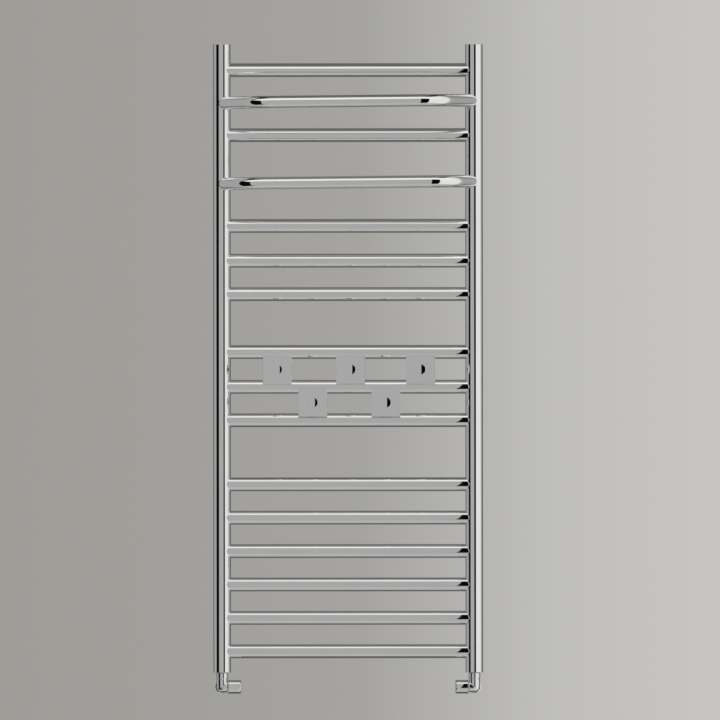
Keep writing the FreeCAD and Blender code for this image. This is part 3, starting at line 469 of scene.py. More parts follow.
class Shape:
    """A mesh in the making."""

    def __init__(self) -> None:
        """Starts with an empty mesh."""
        self.bm = bmesh.new()

    def ring(self, points: Iterable[Vector]) -> list[bmesh.types.BMVert]:
        """Adds corners at points and gives them back."""
        return [self.bm.verts.new(point) for point in points]

    def skin(self, rings: Sequence[list[bmesh.types.BMVert]], looped: bool = False) -> None:
        """Joins rings with faces. A ring of one corner is a tip.

        Args:
            rings: The rings in order.
            looped: True where the last ring joins the first.
        """
        pairs = list(zip(rings, rings[1:]))
        if looped:
            pairs.append((rings[-1], rings[0]))
        for low, high in pairs:
            count = max(len(low), len(high))
            for i in range(count):
                j = (i + 1) % count
                corners = [low[i % len(low)], low[j % len(low)], high[j % len(high)], high[i % len(high)]]
                self.bm.faces.new(list(dict.fromkeys(corners)))

    def turn(
        self, axis: Axis, sections: Sequence[Section], looped: bool = False, steps: int = FINE
    ) -> "Shape":
        """Adds a turned piece.

        Args:
            axis: Its axis.
            sections: Its rings. A half width of 0 is a tip on the axis.
            looped: True where the rings go round a hole.
            steps: Corners in each ring.

        Returns:
            This shape.
        """
        rings = []
        for section in sections:
            if section.half < TINY:
                rings.append(self.ring([axis.spot(0.0, 0.0, section.along)]))
                continue
            angles = (TURN * i / steps for i in range(steps))
            rings.append(self.ring(axis.spot(section.reach(a), a, section.along) for a in angles))
        self.skin(rings, looped)
        return self

    def tube(self, rings: Sequence[Sequence[Vector]], start: Vector, end: Vector) -> "Shape":
        """Adds a tube through rings of points, closed at both ends.

        Args:
            rings: The rings' points, in order.
            start: The tip that closes the first ring.
            end: The tip that closes the last one.

        Returns:
            This shape.
        """
        made = [self.ring([start])] + [self.ring(points) for points in rings] + [self.ring([end])]
        self.skin(made)
        return self

    def slab(self, low: Vector, high: Vector, bevel: float, steps: int = 3) -> "Shape":
        """Adds a box with rounded edges.

        Args:
            low: Its lowest corner.
            high: Its highest corner.
            bevel: The edges' rounding.
            steps: Steps in that rounding.

        Returns:
            This shape.
        """
        middle = Matrix.Translation((low + high) / 2)
        size = Matrix.Diagonal((*(high - low), 1.0))
        made = bmesh.ops.create_cube(self.bm, size=1.0, matrix=middle @ size)
        edges = list({edge for vert in made["verts"] for edge in vert.link_edges})
        bmesh.ops.bevel(self.bm, geom=edges, offset=bevel, segments=steps, profile=0.6, affect="EDGES")
        return self

    def mesh(self, name: str) -> bpy.types.Mesh:
        """Closes the making and gives the mesh.

        Args:
            name: The mesh's name.

        Returns:
            The mesh, with its faces turned outwards.
        """
        bmesh.ops.recalc_face_normals(self.bm, faces=self.bm.faces)
        data = bpy.data.meshes.new(name)
        self.bm.to_mesh(data)
        self.bm.free()
        return data


def shade(data: bpy.types.Mesh) -> None:
    """Shades a mesh smooth, apart from its sharp edges."""
    data.polygons.foreach_set("use_smooth", [True] * len(data.polygons))
    data.set_sharp_from_angle(angle=SHARP_ANGLE)


def spare(data: bpy.types.Mesh) -> bpy.types.Object:
    """Puts a mesh in the scene as an object.

    Args:
        data: The mesh.

    Returns:
        The object.
    """
    thing = bpy.data.objects.new(data.name, data)
    bpy.context.scene.collection.objects.link(thing)
    return thing


def applied(thing: bpy.types.Object, name: str) -> bpy.types.Mesh:
    """Takes a spare object's finished mesh and removes the object.

    Args:
        thing: The object, with its modifiers.
        name: The new mesh's name.

    Returns:
        The mesh as its modifiers leave it.
    """
    bpy.context.view_layer.update()
    depsgraph = bpy.context.evaluated_depsgraph_get()
    data = bpy.data.meshes.new_from_object(thing.evaluated_get(depsgraph))
    data.name = name
    bpy.data.objects.remove(thing)
    return data


def drilled(body: bpy.types.Mesh, bit: bpy.types.Mesh) -> bpy.types.Mesh:
    """Cuts one mesh out of another.

    Args:
        body: The mesh that is cut.
        bit: The mesh of the hole.

    Returns:
        The cut mesh.
    """
    block, cutter = spare(body), spare(bit)
    step = block.modifiers.new("drill", "BOOLEAN")
    step.operation, step.solver, step.object = "DIFFERENCE", "EXACT", cutter
    data = applied(block, body.name)
    bpy.data.objects.remove(cutter)
    return data


def cast(rough: bpy.types.Mesh, grain: float, passes: int) -> bpy.types.Mesh:
    """Runs overlapping solids together into one casting with soft inner corners.

    Args:
        rough: The solids.
        grain: Size of the new mesh's cells.
        passes: How often the surface is evened out.

    Returns:
        The casting.
    """
    block = spare(rough)
    step = block.modifiers.new("cast", "REMESH")
    step.mode, step.voxel_size = "VOXEL", grain
    soften = block.modifiers.new("soften", "SMOOTH")
    soften.factor, soften.iterations = 0.5, passes
    return applied(block, rough.name)


def piece(
    name: str,
    data: bpy.types.Mesh,
    material: bpy.types.Material,
    body: str,
    nodes: Sequence[str],
) -> bpy.types.Object:
    """Makes a visible piece that stands for CAD nodes.

    Args:
        name: The piece's name.
        data: Its mesh.
        material: Its material.
        body: The CAD body it rides on.
        nodes: The CAD nodes it stands for.

    Returns:
        The piece.
    """
    shade(data)
    data.materials.clear()
    data.materials.append(material)
    thing = bpy.data.objects.new(name, data)
    bpy.context.scene.collection.objects.link(thing)
    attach(thing, body)
    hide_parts(*nodes)
    even = thing.modifiers.new("even_shading", "WEIGHTED_NORMAL")
    even.mode, even.weight, even.keep_sharp = "FACE_AREA", 50, True
    LOG.info("%s rides on %s and stands for %s", name, body, ", ".join(nodes))
    return thing


@dataclass(frozen=True)
class Box:
    """A CAD node's box at rest."""

    low: Vector
    high: Vector

    @classmethod
    def of(cls, node: str) -> "Box":
        """Reads a node's box from the frame."""
        return cls(*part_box(node))

    @property
    def middle(self) -> Vector:
        """The box's centre."""
        return (self.low + self.high) / 2

    @property
    def size(self) -> Vector:
        """The box's sides."""
        return self.high - self.low


# --- Ladder frame --------------------------------------------------------------------------------


class Side(Enum):
    """An end of the rail and its direction along X."""

    LEFT = -1.0
    RIGHT = 1.0

    @property
    def word(self) -> str:
        """The side as the CAD nodes spell it."""
        return self.name.lower()


class Level(Enum):
    """Which bowed rail."""

    UPPER = "upper"
    LOWER = "lower"


def turned_back(rings: Sequence[Sequence[Vector]]) -> list[list[Vector]]:
    """Puts a tube end's rings in the order and direction of a tube that arrives there.

    Args:
        rings: The rings, from the upright outwards.

    Returns:
        The rings towards the upright.
    """
    return [[ring[-i % FINE] for i in range(FINE)] for ring in reversed(rings)]


@dataclass
class LadderFrame:
    """Two uprights with caps and bushes, and the straight bars welded between them."""

    bars: int = 14
    weld: float = 0.6
    weld_sink: float = 0.4
    hold: float = 2.0
    tube_wall: float = 1.5
    rim_round: float = 0.5
    bore_round: float = 0.3
    cap_edge: float = 0.1
    cap_round: float = 0.45
    bush_bore: float = 9.3
    bush_inset: float = 0.1
    posts: dict[Side, Post] = field(default_factory=dict)

    def build(self) -> None:
        """Makes the whole frame."""
        for side in Side:
            self.upright(side)
        self.caps()
        self.bushes()
        for number in range(1, self.bars + 1):
            self.bar(number)

    def upright(self, side: Side) -> None:
        """Makes one upright: an open tube with softened rims.

        Args:
            side: Which end of the rail it stands at.
        """
        node = f"upright_{side.word}"
        box = Box.of(node)
        radius = box.size.x / 2 / MM
        length = box.size.z / MM
        bore = radius - self.tube_wall
        self.posts[side] = Post(box.middle.x, box.middle.y, radius * MM)
        corners = [
            (bore, 0.0, self.bore_round),
            (radius, 0.0, self.rim_round),
            (radius, self.hold),
            (radius, length - self.hold),
            (radius, length, self.rim_round),
            (bore, length, self.bore_round),
        ]
        axis = up_from(box.middle.x, box.middle.y, box.low.z)
        shape = Shape().turn(axis, softened(corners, looped=True), looped=True)
        piece(f"{node}_tube", shape.mesh(node), CHROME.material(Grain.UPRIGHT), "rail", [node])

    def caps(self) -> None:
        """Makes the discs that close the uprights' tops."""
        box = Box.of("top_caps")
        thick = box.size.z / MM
        shape = Shape()
        for post in self.posts.values():
            radius = post.radius / MM - self.tube_wall - FIT_GAP
            corners = [
                (0, 0),
                (radius, 0, self.cap_edge),
                (radius, thick - self.cap_edge, self.cap_round),
                (0, thick),
            ]
            shape.turn(up_from(post.x, post.y, box.low.z), softened(corners))
        piece("upright_caps", shape.mesh("caps"), CHROME.material(), "rail", ["top_caps"])

    def bushes(self) -> None:
        """Makes the threaded bushes in the uprights' lower ends."""
        box = Box.of("inlet_bushes")
        bore, inset, height = self.bush_bore, self.bush_inset, box.size.z / MM
        shape = Shape()
        for post in self.posts.values():
            radius = post.radius / MM - self.tube_wall - FIT_GAP
            corners = [(bore, inset, 0.5), (radius, inset, 0.4), (radius, height, 0.3), (bore, height, 0.3)]
            shape.turn(up_from(post.x, post.y, box.low.z), softened(corners, looped=True), looped=True)
        data = shape.mesh("bushes")
        piece("lower_bushes", data, PLAIN_STEEL.material(), "rail", ["inlet_bushes"])

    def weld_rings(self, post: Post, line: Axis, radius: float) -> list[list[Vector]]:
        """Shapes a tube's end: a saddle on the post, then a small weld that runs out onto the tube.

        Args:
            post: The upright it joins.
            line: The tube's axis, pointing away from the upright.
            radius: The tube's outside radius.

        Returns:
            Rings of points, from the upright outwards.
        """
        size = self.weld * MM
        stations = [(radius + size, -self.weld_sink * MM)]
        for step in range(ARC_STEPS + 1):
            turn = math.pi / 2 * (1 - step / ARC_STEPS)
            stations.append((radius + size * (1 - math.cos(turn)), size * (1 - math.sin(turn))))
        stations.append((radius, size + self.hold * MM))
        rings = []
        for reach, ahead in stations:
            rings.append([line.spot(reach, a, post.meet(line, reach, a) + ahead) for a in AROUND])
        return rings

    def bar(self, number: int) -> None:
        """Makes one straight bar with its welds.

        Args:
            number: The bar's number, from 1 at the bottom.
        """
        node = f"bar_{number:02d}"
        box = Box.of(node)
        radius = box.size.z / 2
        left, right = self.posts[Side.LEFT], self.posts[Side.RIGHT]
        start = sideways(left.x, left.y, box.middle.z, Side.RIGHT.value)
        end = sideways(right.x, right.y, box.middle.z, Side.LEFT.value)
        rings = self.weld_rings(left, start, radius) + turned_back(self.weld_rings(right, end, radius))
        reach = left.radius - self.weld_sink * MM
        shape = Shape().tube(rings, start.spot(0, 0, reach), end.spot(0, 0, reach))
        piece(f"{node}_tube", shape.mesh(node), CHROME.material(Grain.ACROSS), "rail", [node])


@dataclass
class BowedRail:
    """A rail bent forward, whose right foot is a little higher than its left."""

    ladder: LadderFrame
    level: Level
    arm_angle: float = 55.0
    bend_radius: float = 62.0
    foot_shift: float = 1.8
    foot_rise: float = 4.4
    tube_radius: float = 11.0
    bend_steps: int = 40
    straight_steps: int = 4
    tip_sink: float = 10.0

    def path(self, half: float, reach: float) -> list[tuple[Vector, Vector]]:
        """Works out the bent axis from the left bend to the right one.

        Args:
            half: Half the distance between the feet.
            reach: How far the front stands before the feet.

        Returns:
            Points and directions.
        """
        angle = math.radians(self.arm_angle)
        radius = self.bend_radius * MM
        knee_y = radius * (1 - math.cos(angle)) - reach
        front_x = knee_y / math.tan(angle) + half - radius * math.sin(angle)
        bend = []
        for step in range(self.bend_steps + 1):
            turn = angle * step / self.bend_steps
            point = Vector((front_x + radius * math.sin(turn), radius * (1 - math.cos(turn)) - reach, 0))
            bend.append((point, Vector((math.cos(turn), math.sin(turn), 0))))
        left = [(Vector((-p.x, p.y, 0)), Vector((d.x, -d.y, 0))) for p, d in reversed(bend)]
        front = [
            (Vector((-front_x + 2 * front_x * i / self.straight_steps, -reach, 0)), Vector((1, 0, 0)))
            for i in range(1, self.straight_steps)
        ]
        return left + front + bend

    def build(self) -> None:
        """Makes the rail, with its ends saddled and welded to the uprights."""
        node = f"bow_rail_{self.level.value}"
        box = Box.of(node)
        left, right = self.ladder.posts[Side.LEFT], self.ladder.posts[Side.RIGHT]
        radius = self.tube_radius * MM
        half = (right.x - left.x) / 2 + self.foot_shift * MM
        reach = left.y - box.low.y - radius
        tilt = Matrix.Rotation(-math.atan2(self.foot_rise * MM, right.x - left.x), 3, "Y")
        centre = Vector(((left.x + right.x) / 2, left.y, box.middle.z))
        angle = math.radians(self.arm_angle)
        left_way = Vector((math.cos(angle), -math.sin(angle), 0))
        right_way = Vector((-math.cos(angle), -math.sin(angle), 0))
        start = tilted(centre, tilt, Vector((-half, 0, 0)), left_way)
        end = tilted(centre, tilt, Vector((half, 0, 0)), right_way)
        first = self.ladder.weld_rings(left, start, radius)
        last = turned_back(self.ladder.weld_rings(right, end, radius))
        places = [tilted(centre, tilt, point, way) for point, way in self.path(half, reach)]
        along = [[place.spot(radius, a) for a in AROUND] for place in places]
        sink = self.tip_sink * MM
        shape = Shape().tube(first + along + last, start.spot(0, 0, sink), end.spot(0, 0, sink))
        piece(f"{node}_tube", shape.mesh(node), CHROME.material(Grain.ACROSS), "rail", [node])


def tilted(centre: Vector, tilt: Matrix, point: Vector, way: Vector) -> Axis:
    """Gives a place on a bowed rail's path once the rail is tilted.

    Args:
        centre: The middle of the rail's feet.
        tilt: The rail's turn.
        point: The place on the level path.
        way: The path's direction there.

    Returns:
        An axis along the tilted path.
    """
    return Axis(centre + tilt @ point, (tilt @ way).normalized(), tilt @ Vector((0, 0, 1)))


# --- Wall side: bosses, brackets, vent -----------------------------------------------------------


@dataclass
class WallBrackets:
    """Four bosses behind the uprights, each with a stem in a cup that is screwed to the wall."""

    ladder: LadderFrame
    boss_radius: float = 9.0
    stem_radius: float = 6.0
    collar_radius: float = 8.0
    collar_length: float = 3.0
    stem_sink: float = 0.5
    cup_radius: float = 10.0
    flange_radius: float = 12.5
    flange_thickness: float = 4.0
    cup_bore: float = 6.1
    screw_hole: float = 2.75
    grub_radius: float = 2.0
    grub_play: float = 0.05
    grub_back: float = 18.0
    grub_recess: float = 0.15
    grub_hex: float = 1.0
    grub_chamfer: float = 0.3
    grub_socket: float = 1.6
    small_steps: int = 48

    def places(self) -> list[tuple[float, float]]:
        """Finds the brackets.

        Returns:
            Their X and Z.
        """
        box = Box.of("wall_cups")
        inset = self.flange_radius * MM
        heights = (box.low.z + inset, box.high.z - inset)
        return [(post.x, z) for post in self.ladder.posts.values() for z in heights]

    def build(self) -> None:
        """Makes bosses, stems, cups and their grub screws."""
        self.bosses()
        self.stems()
        self.cups()
        self.grubs()

    def bosses(self) -> None:
        """Makes the bosses, welded behind the uprights."""
        face = Box.of("bracket_bosses").high.y
        shape = Shape()
        for x, z in self.places():
            post = next(p for p in self.ladder.posts.values() if abs(p.x - x) < MM)
            welded_stub(self.ladder, shape, post, z, self.boss_radius, face)
        data = shape.mesh("bosses")
        piece("bracket_boss_set", data, CHROME.material(), "rail", ["bracket_bosses"])

    def stems(self) -> None:
        """Makes the rods between the bosses and the cups."""
        box = Box.of("bracket_stems")
        face = Box.of("bracket_bosses").high.y
        length = (box.high.y - face) / MM
        corners = [
            (0, -self.stem_sink),
            (self.collar_radius, 0, 0.5),
            (self.collar_radius, self.collar_length, 0.6),
            (self.stem_radius, self.collar_length, 0.5),
            (self.stem_radius, length, 0.6),
            (0, length),
        ]
        shape = Shape()
        for x, z in self.places():
            shape.turn(wallward(x, face, z), softened(corners))
        data = shape.mesh("stems")
        piece("bracket_stem_set", data, CHROME_CAST.material(), "rail", ["bracket_stems"])

    def cups(self) -> None:
        """Makes the wall cups, each drilled below for its grub screw."""
        box = Box.of("wall_cups")
        length = box.size.y / MM
        corners = [
            (self.screw_hole, 0, 0.2),
            (self.flange_radius, 0, 0.3),
            (self.flange_radius, self.flange_thickness, 1.0),
            (self.cup_radius, self.flange_thickness, 1.2),
            (self.cup_radius, length, 1.0),
            (self.cup_bore, length, 0.5),
            (self.cup_bore, self.flange_thickness, 0.3),
            (self.screw_hole, self.flange_thickness, 0.3),
        ]
        across = 2 * self.cup_radius
        hole = [(0, 0), (self.grub_radius, 0), (self.grub_radius, across), (0, across)]
        back = box.high.y - self.grub_back * MM
        bodies, holes = Shape(), Shape()
        for x, z in self.places():
            bodies.turn(roomward(x, box.high.y, z), softened(corners, looped=True), looped=True)
            holes.turn(down_from(x, back, z), softened(hole), steps=self.small_steps)
        data = drilled(bodies.mesh("cups"), holes.mesh("cup_holes"))
        piece("wall_cup_set", data, CHROME_CAST.material(), "rail", ["wall_cups"])

    def grubs(self) -> None:
        """Makes the grub screws under the cups."""
        back = Box.of("wall_cups").high.y - self.grub_back * MM
        depth = self.cup_radius - self.stem_radius - self.grub_recess
        outer = self.grub_radius - self.grub_play
        corners = [(0, 0), (outer, 0, 0.2), (outer, depth, 0.3), (self.grub_hex + self.grub_chamfer, depth)]
        sections = softened(corners) + hex_socket(self.grub_hex, depth, self.grub_socket)
        shape = Shape()
        for x, z in self.places():
            shape.turn(down_from(x, back, z - self.stem_radius * MM), sections, steps=self.small_steps)
        data = shape.mesh("grubs")
        nodes = ["bracket_grub_screws"]
        piece("bracket_grub_set", data, BLACK_STEEL.material(), "rail", nodes)


STUB_EDGE = 0.6  # rounding of a welded boss's face, in millimetres


def welded_stub(
    ladder: LadderFrame, shape: Shape, post: Post, height: float, radius: float, face: float
) -> None:
    """Adds a round boss welded behind an upright.

    Args:
        ladder: The frame, which knows how welds look.
        shape: The shape it is added to.
        post: The upright.
        height: Its Z.
        radius: Its radius in millimetres.
        face: Y of its face.
    """
    line = wallward(post.x, post.y, height)
    rings = ladder.weld_rings(post, line, radius * MM)
    depth = face - post.y
    edge = STUB_EDGE * MM
    for step in range(ARC_STEPS + 1):
        turn = math.pi / 2 * step / ARC_STEPS
        reach = radius * MM - edge * (1 - math.cos(turn))
        ahead = depth - edge * (1 - math.sin(turn))
        rings.append([line.spot(reach, a, ahead) for a in AROUND])
    shape.tube(rings, line.spot(0, 0, post.radius / 2), line.spot(0, 0, depth))


def hex_socket(half: float, top: float, depth: float) -> list[Section]:
    """Gives the rings of a hexagon socket in a screw's end.

    Args:
        half: Half the hexagon across its flats, in millimetres.
        top: Where the screw's end is, along its axis.
        depth: How deep the socket goes.

    Returns:
        The rings, down to the tip at its bottom.
    """
    return [
        Section(half * MM, top * MM, 6),
        Section(half * MM, (top - depth) * MM, 6),
        Section(0.0, (top - depth - half / 3) * MM),
    ]


@dataclass
class VentFittings:
    """The air vent behind the right upright's top, and the blanking plug behind the left one's."""

    ladder: LadderFrame
    boss_radius: float = 8.5
    thread_radius: float = 4.8
    thread_length: float = 7.0
    hex_half: float = 6.0
    hex_length: float = 3.5
    hex_clip: float = 6.75
    hex_chamfer: float = 0.5
    hex_face: float = 0.97
    dimple_rim: float = 0.45
    dimple_floor: float = 0.4
    screw_radius: float = 2.0
    screw_play: float = 0.05
    point_radius: float = 0.55
    point_length: float = 0.6
    neck: float = 1.05
    key_half: float = 2.5
    key_length: float = 4.0
    key_chamfer: float = 0.4
    key_clip: float = 1.3
    key_face: float = 0.9
    key_face_clip: float = 0.98
    key_middle: float = 0.3

    def build(self) -> None:
        """Makes the bosses, both plugs and the bleed screw."""
        box = Box.of("vent_bosses")
        height = box.middle.z
        shape = Shape()
        for post in self.ladder.posts.values():
            welded_stub(self.ladder, shape, post, height, self.boss_radius, box.high.y)
        data = shape.mesh("vent_bosses")
        piece("vent_boss_set", data, CHROME.material(), "rail", ["vent_bosses"])
        left, right = self.ladder.posts[Side.LEFT], self.ladder.posts[Side.RIGHT]
        vent = wallward(right.x, box.high.y, height)
        self.plug("blank_plug", wallward(left.x, box.high.y, height), 0.0)
        self.plug("vent_plug", vent, self.screw_radius + self.screw_play)
        self.screw(vent)

    def plug(self, node: str, axis: Axis, bore: float) -> None:
        """Makes a plug with a chamfered hexagon.

        Args:
            node: The CAD node it stands for.
            axis: Its axis, from the boss face to the wall.
            bore: Radius of its hole in millimetres, or 0.
        """
        thread, depth = self.thread_radius * MM, -self.thread_length * MM
        half, top, clip = self.hex_half * MM, self.hex_length * MM, self.hex_clip * MM
        chamfer = self.hex_chamfer * MM
        rings = [
            Section(thread, depth),
            Section(thread, 0.0),
            Section(half, 0.0),
            Section(half, chamfer, 6, clip),
            Section(half, top - chamfer, 6, clip),
            Section(half * self.hex_face, top),
        ]
        if bore:
            rings += [Section(bore * MM + chamfer / 2, top), Section(bore * MM, top - chamfer / 2)]
            rings.append(Section(bore * MM, depth))
        else:
            floor = top - chamfer / 2
            dimple = [Section(half * self.dimple_rim, top), Section(half * self.dimple_floor, floor)]
            rings = [Section(0.0, depth), *rings, *dimple, Section(0.0, floor)]
        shape = Shape().turn(axis, rings, looped=bool(bore))
        piece(f"{node}_turned", shape.mesh(node), CHROME.material(), "rail", [node])

    def screw(self, axis: Axis) -> None:
        """Makes the bleed screw with its square for the key.

        Args:
            axis: The vent's axis, from the boss face to the wall.
        """
        box = Box.of("vent_screw")
        start, end = box.low.y - axis.origin.y, box.high.y - axis.origin.y
        shank, half = self.screw_radius * MM, self.key_half * MM
        neck = end - self.key_length * MM
        chamfer, clip = self.key_chamfer * MM, half * self.key_clip
        rings = [
            Section(0.0, start),
            Section(shank * self.point_radius, start),
            Section(shank, start + shank * self.point_length),
            Section(shank, neck),
            Section(shank * self.neck, neck),
            Section(half, neck + chamfer / 2, 4, clip),
            Section(half, end - chamfer, 4, clip),
            Section(half * self.key_face, end, 4, half * self.key_face_clip),
            Section(half * self.key_middle, end),
            Section(0.0, end),
        ]
        data = Shape().turn(axis, rings).mesh("vent_screw")
        piece("vent_screw_turned", data, BRASS.material(), "bleed_screw", ["vent_screw"])


# --- Robe hooks ----------------------------------------------------------------------------------


@dataclass
class RobeHook:
    """A square plate in front of two bars with a round peg."""

    number: int
    bevel: float = 0.6
    face_bow: float = 1.2
    face_steps: int = 8
    rim_round: float = 0.25

    def build(self) -> None:
        """Makes the plate and the peg."""
        plate, peg = f"hook_plate_{self.number}", f"hook_peg_{self.number}"
        box = Box.of(plate)
        shape = Shape().slab(box.low, box.high, self.bevel * MM)
        piece(f"{plate}_flat", shape.mesh(plate), CHROME.material(), "rail", [plate])
        box = Box.of(peg)
        radius, length = box.size.x / 2 / MM, box.size.y / MM
        corners = [
            (0, 0),
            (radius, 0, 0.2),
            (radius, length - self.face_bow, self.rim_round),
            *self.face(radius, length),
        ]
        shape = Shape().turn(roomward(box.middle.x, box.high.y, box.middle.z), softened(corners))
        piece(f"{peg}_turned", shape.mesh(peg), CHROME.material(), "rail", [peg])

    def face(self, radius: float, length: float) -> list[tuple[float, float]]:
        """Gives the peg's slightly bowed face.

        Args:
            radius: The peg's radius in millimetres.
            length: Its length in millimetres.

        Returns:
            Points from near the rim to the axis.
        """
        flat = radius - 2 * self.rim_round
        reaches = [flat * (1 - i / self.face_steps) for i in range(self.face_steps + 1)]
        return [(r, length - self.face_bow * (r / radius) ** 2) for r in reaches]


@dataclass
class HookClamps:
    """The straps behind the bars and the screws that pull the hooks against them."""

    strap_width: float = 20.0
    strap_thickness: float = 3.0
    strap_bevel: float = 0.5
    screw_radius: float = 2.5
    screw_bite: float = 12.0
    head_radius: float = 4.25
    head_height: float = 5.0
    socket_half: float = 2.0
    socket_depth: float = 2.5
    socket_land: float = 0.6

    def build(self) -> None:
        """Makes all straps and screws."""
        straps, screws = Shape(), Shape()
        rail_y = Box.of("bar_08").middle.y
        for number in range(1, HOOKS + 1):
            plate = Box.of(f"hook_plate_{number}")
            seat = rail_y - plate.high.y
            near = rail_y + seat
            half = Vector((self.strap_width / 2 * MM, 0, plate.size.z / 2))
            low = Vector((plate.middle.x, near, plate.middle.z)) - half
            high = low + Vector((self.strap_width * MM, self.strap_thickness * MM, plate.size.z))
            straps.slab(low, high, self.strap_bevel * MM)
            self.screw(screws, plate.middle.x, near + self.strap_thickness * MM, plate.middle.z, seat)
        data = straps.mesh("straps")
        piece("hook_strap_set", data, CHROME.material(), "rail", ["hook_clamps"])
        data = screws.mesh("screws")
        piece("hook_screw_set", data, BLACK_STEEL.material(), "rail", ["hook_screws"])

    def screw(self, shape: Shape, x: float, face: float, z: float, seat: float) -> None:
        """Adds one clamping screw with a socket head.

        Args:
            shape: The shape it is added to.
            x: Its X.
            face: Y of the strap's back.
            z: Its Z.
            seat: Bar axis to plate, which gives its length.
        """
        reach = -(2 * seat / MM + self.strap_thickness + self.screw_bite)
        top = self.head_height
        corners = [
            (0, reach),
            (self.screw_radius, reach, 0.4),
            (self.screw_radius, 0),
            (self.head_radius, 0, 0.2),
            (self.head_radius, top, 0.5),
            (self.socket_half + self.socket_land, top),
        ]
        rings = softened(corners) + hex_socket(self.socket_half, top, self.socket_depth)
        shape.turn(wallward(x, face, z), rings)


# --- Valves --------------------------------------------------------------------------------------


@dataclass
class Valve:
    """An elbow valve under one upright: nut, cast body, pipe nut, bonnet and head."""

    ladder: LadderFrame
    side: Side
    leg_radius: float = 10.0
    rear_radius: float = 9.8
    thread_radius: float = 9.5
    corner_reach: float = 9.0
    corner_round: float = 8.4
    shoulder_reach: float = 12.0
    socket_radius: float = 7.6
    socket_floor: float = 13.0
    inward_length: float = 10.0
    chamber_radius: float = 7.0
    chamber_overrun: float = 1.0
    seat_back: float = 2.0
    nut_overlap: float = 1.0
    cast_cell: float = 0.00045
    cast_passes: int = 6
    nut_radius: float = 10.5
    nut_bore: float = 6.65
    bonnet_hex_half: float = 7.5
    bonnet_barrel: float = 5.8
    bonnet_bore: float = 3.05
    bonnet_thread: float = 7.0
    bonnet_thread_length: float = 5.0
    bonnet_hex_length: float = 4.0
    bonnet_hex_clip: float = 1.12
    bonnet_reach: float = 9.5
    skirt_wall: float = 2.0
    skirt_depth: float = 10.0
    head_round: float = 3.0
    grub_radius: float = 1.5
    grub_from_web: float = 5.0
    grub_floor: float = 2.1
    grub_steps: int = 48

    @property
    def way(self) -> float:
        """X direction from the upright to the head: towards the middle of the rail."""
        return -self.side.value

    @property
    def centre(self) -> Vector:
        """Finds where the valve's three axes meet.

        Returns:
            The point.
        """
        post = self.ladder.posts[self.side]
        head = Box.of(f"valve_head_{self.side.word}")
        return Vector((post.x, post.y, head.middle.z))

    def build(self) -> None:
        """Makes the body and the head."""
        self.body()
        self.head()

    def body(self) -> None:
        """Makes the cast elbow: three legs run together, with a rounded corner in front."""
        node = f"valve_body_{self.side.word}"
        x, y, z = self.centre
        top = (Box.of("union_nuts").low.z - z) / MM + self.nut_overlap
        back = (Box.of(node).high.y - y) / MM
        leg = self.leg_radius
        shape = Shape()
        shape.turn(up_from(x, y, z), softened([(0, 0), (leg, 0), (leg, top, 0.8), (0, top)]))
        side_leg = [(0, 0), (leg, 0), (leg, self.inward_length, 0.5), (0, self.inward_length)]
        shape.turn(sideways(x, y, z, self.way), softened(side_leg))
        rear = [
            (0, -self.corner_reach),
            (self.rear_radius, -self.corner_reach, self.corner_round),
            (self.rear_radius, self.shoulder_reach, 0.6),
            (self.thread_radius, self.shoulder_reach, 0.1),
            (self.thread_radius, back, 0.8),
            (self.socket_radius, back, 0.4),
            (self.socket_radius, self.socket_floor, 0.3),
            (0, self.socket_floor),
        ]
        shape.turn(wallward(x, y, z), softened(rear))
        data = cast(shape.mesh(node), self.cast_cell, self.cast_passes)
        bore, end = self.chamber_radius, self.inward_length + self.chamber_overrun
        chamber = [(0, -self.seat_back), (bore, -self.seat_back), (bore, end), (0, end)]
        bit = Shape().turn(sideways(x, y, z, self.way), softened(chamber)).mesh("chamber")
        piece(f"{node}_cast", drilled(data, bit), CHROME_CAST.material(), "rail", [node])

    def head(self) -> None:
        """Makes the head: a hollow knob with a rounded end, drilled for its grub screw."""
        node = f"valve_head_{self.side.word}"
        box = Box.of(node)
        radius, length = box.size.z / 2 / MM, box.size.x / MM
        start = box.low.x if self.way > 0 else box.high.x
        axis = sideways(start, box.middle.y, box.middle.z, self.way)
        inner = radius - self.skirt_wall
        corners = [
            (0, self.skirt_depth),
            (inner, self.skirt_depth, 0.5),
            (inner, 0, 0.3),
            (radius, 0, 0.5),
            (radius, length, self.head_round),
            (0, length),
        ]
        knob = Shape().turn(axis, softened(corners)).mesh(node)
        grub_x = start + self.way * (self.skirt_depth + self.grub_from_web) * MM
        down = down_from(grub_x, box.middle.y, box.middle.z)
        bore, floor = self.grub_radius, self.grub_floor
        hole = [(0, floor), (bore, floor), (bore, 2 * radius), (0, 2 * radius)]
        bit = Shape().turn(down, softened(hole), steps=self.grub_steps).mesh("head_hole")
        body = f"head_{self.side.word}"
        piece(f"{node}_turned", drilled(knob, bit), CHROME.material(), body, [node])


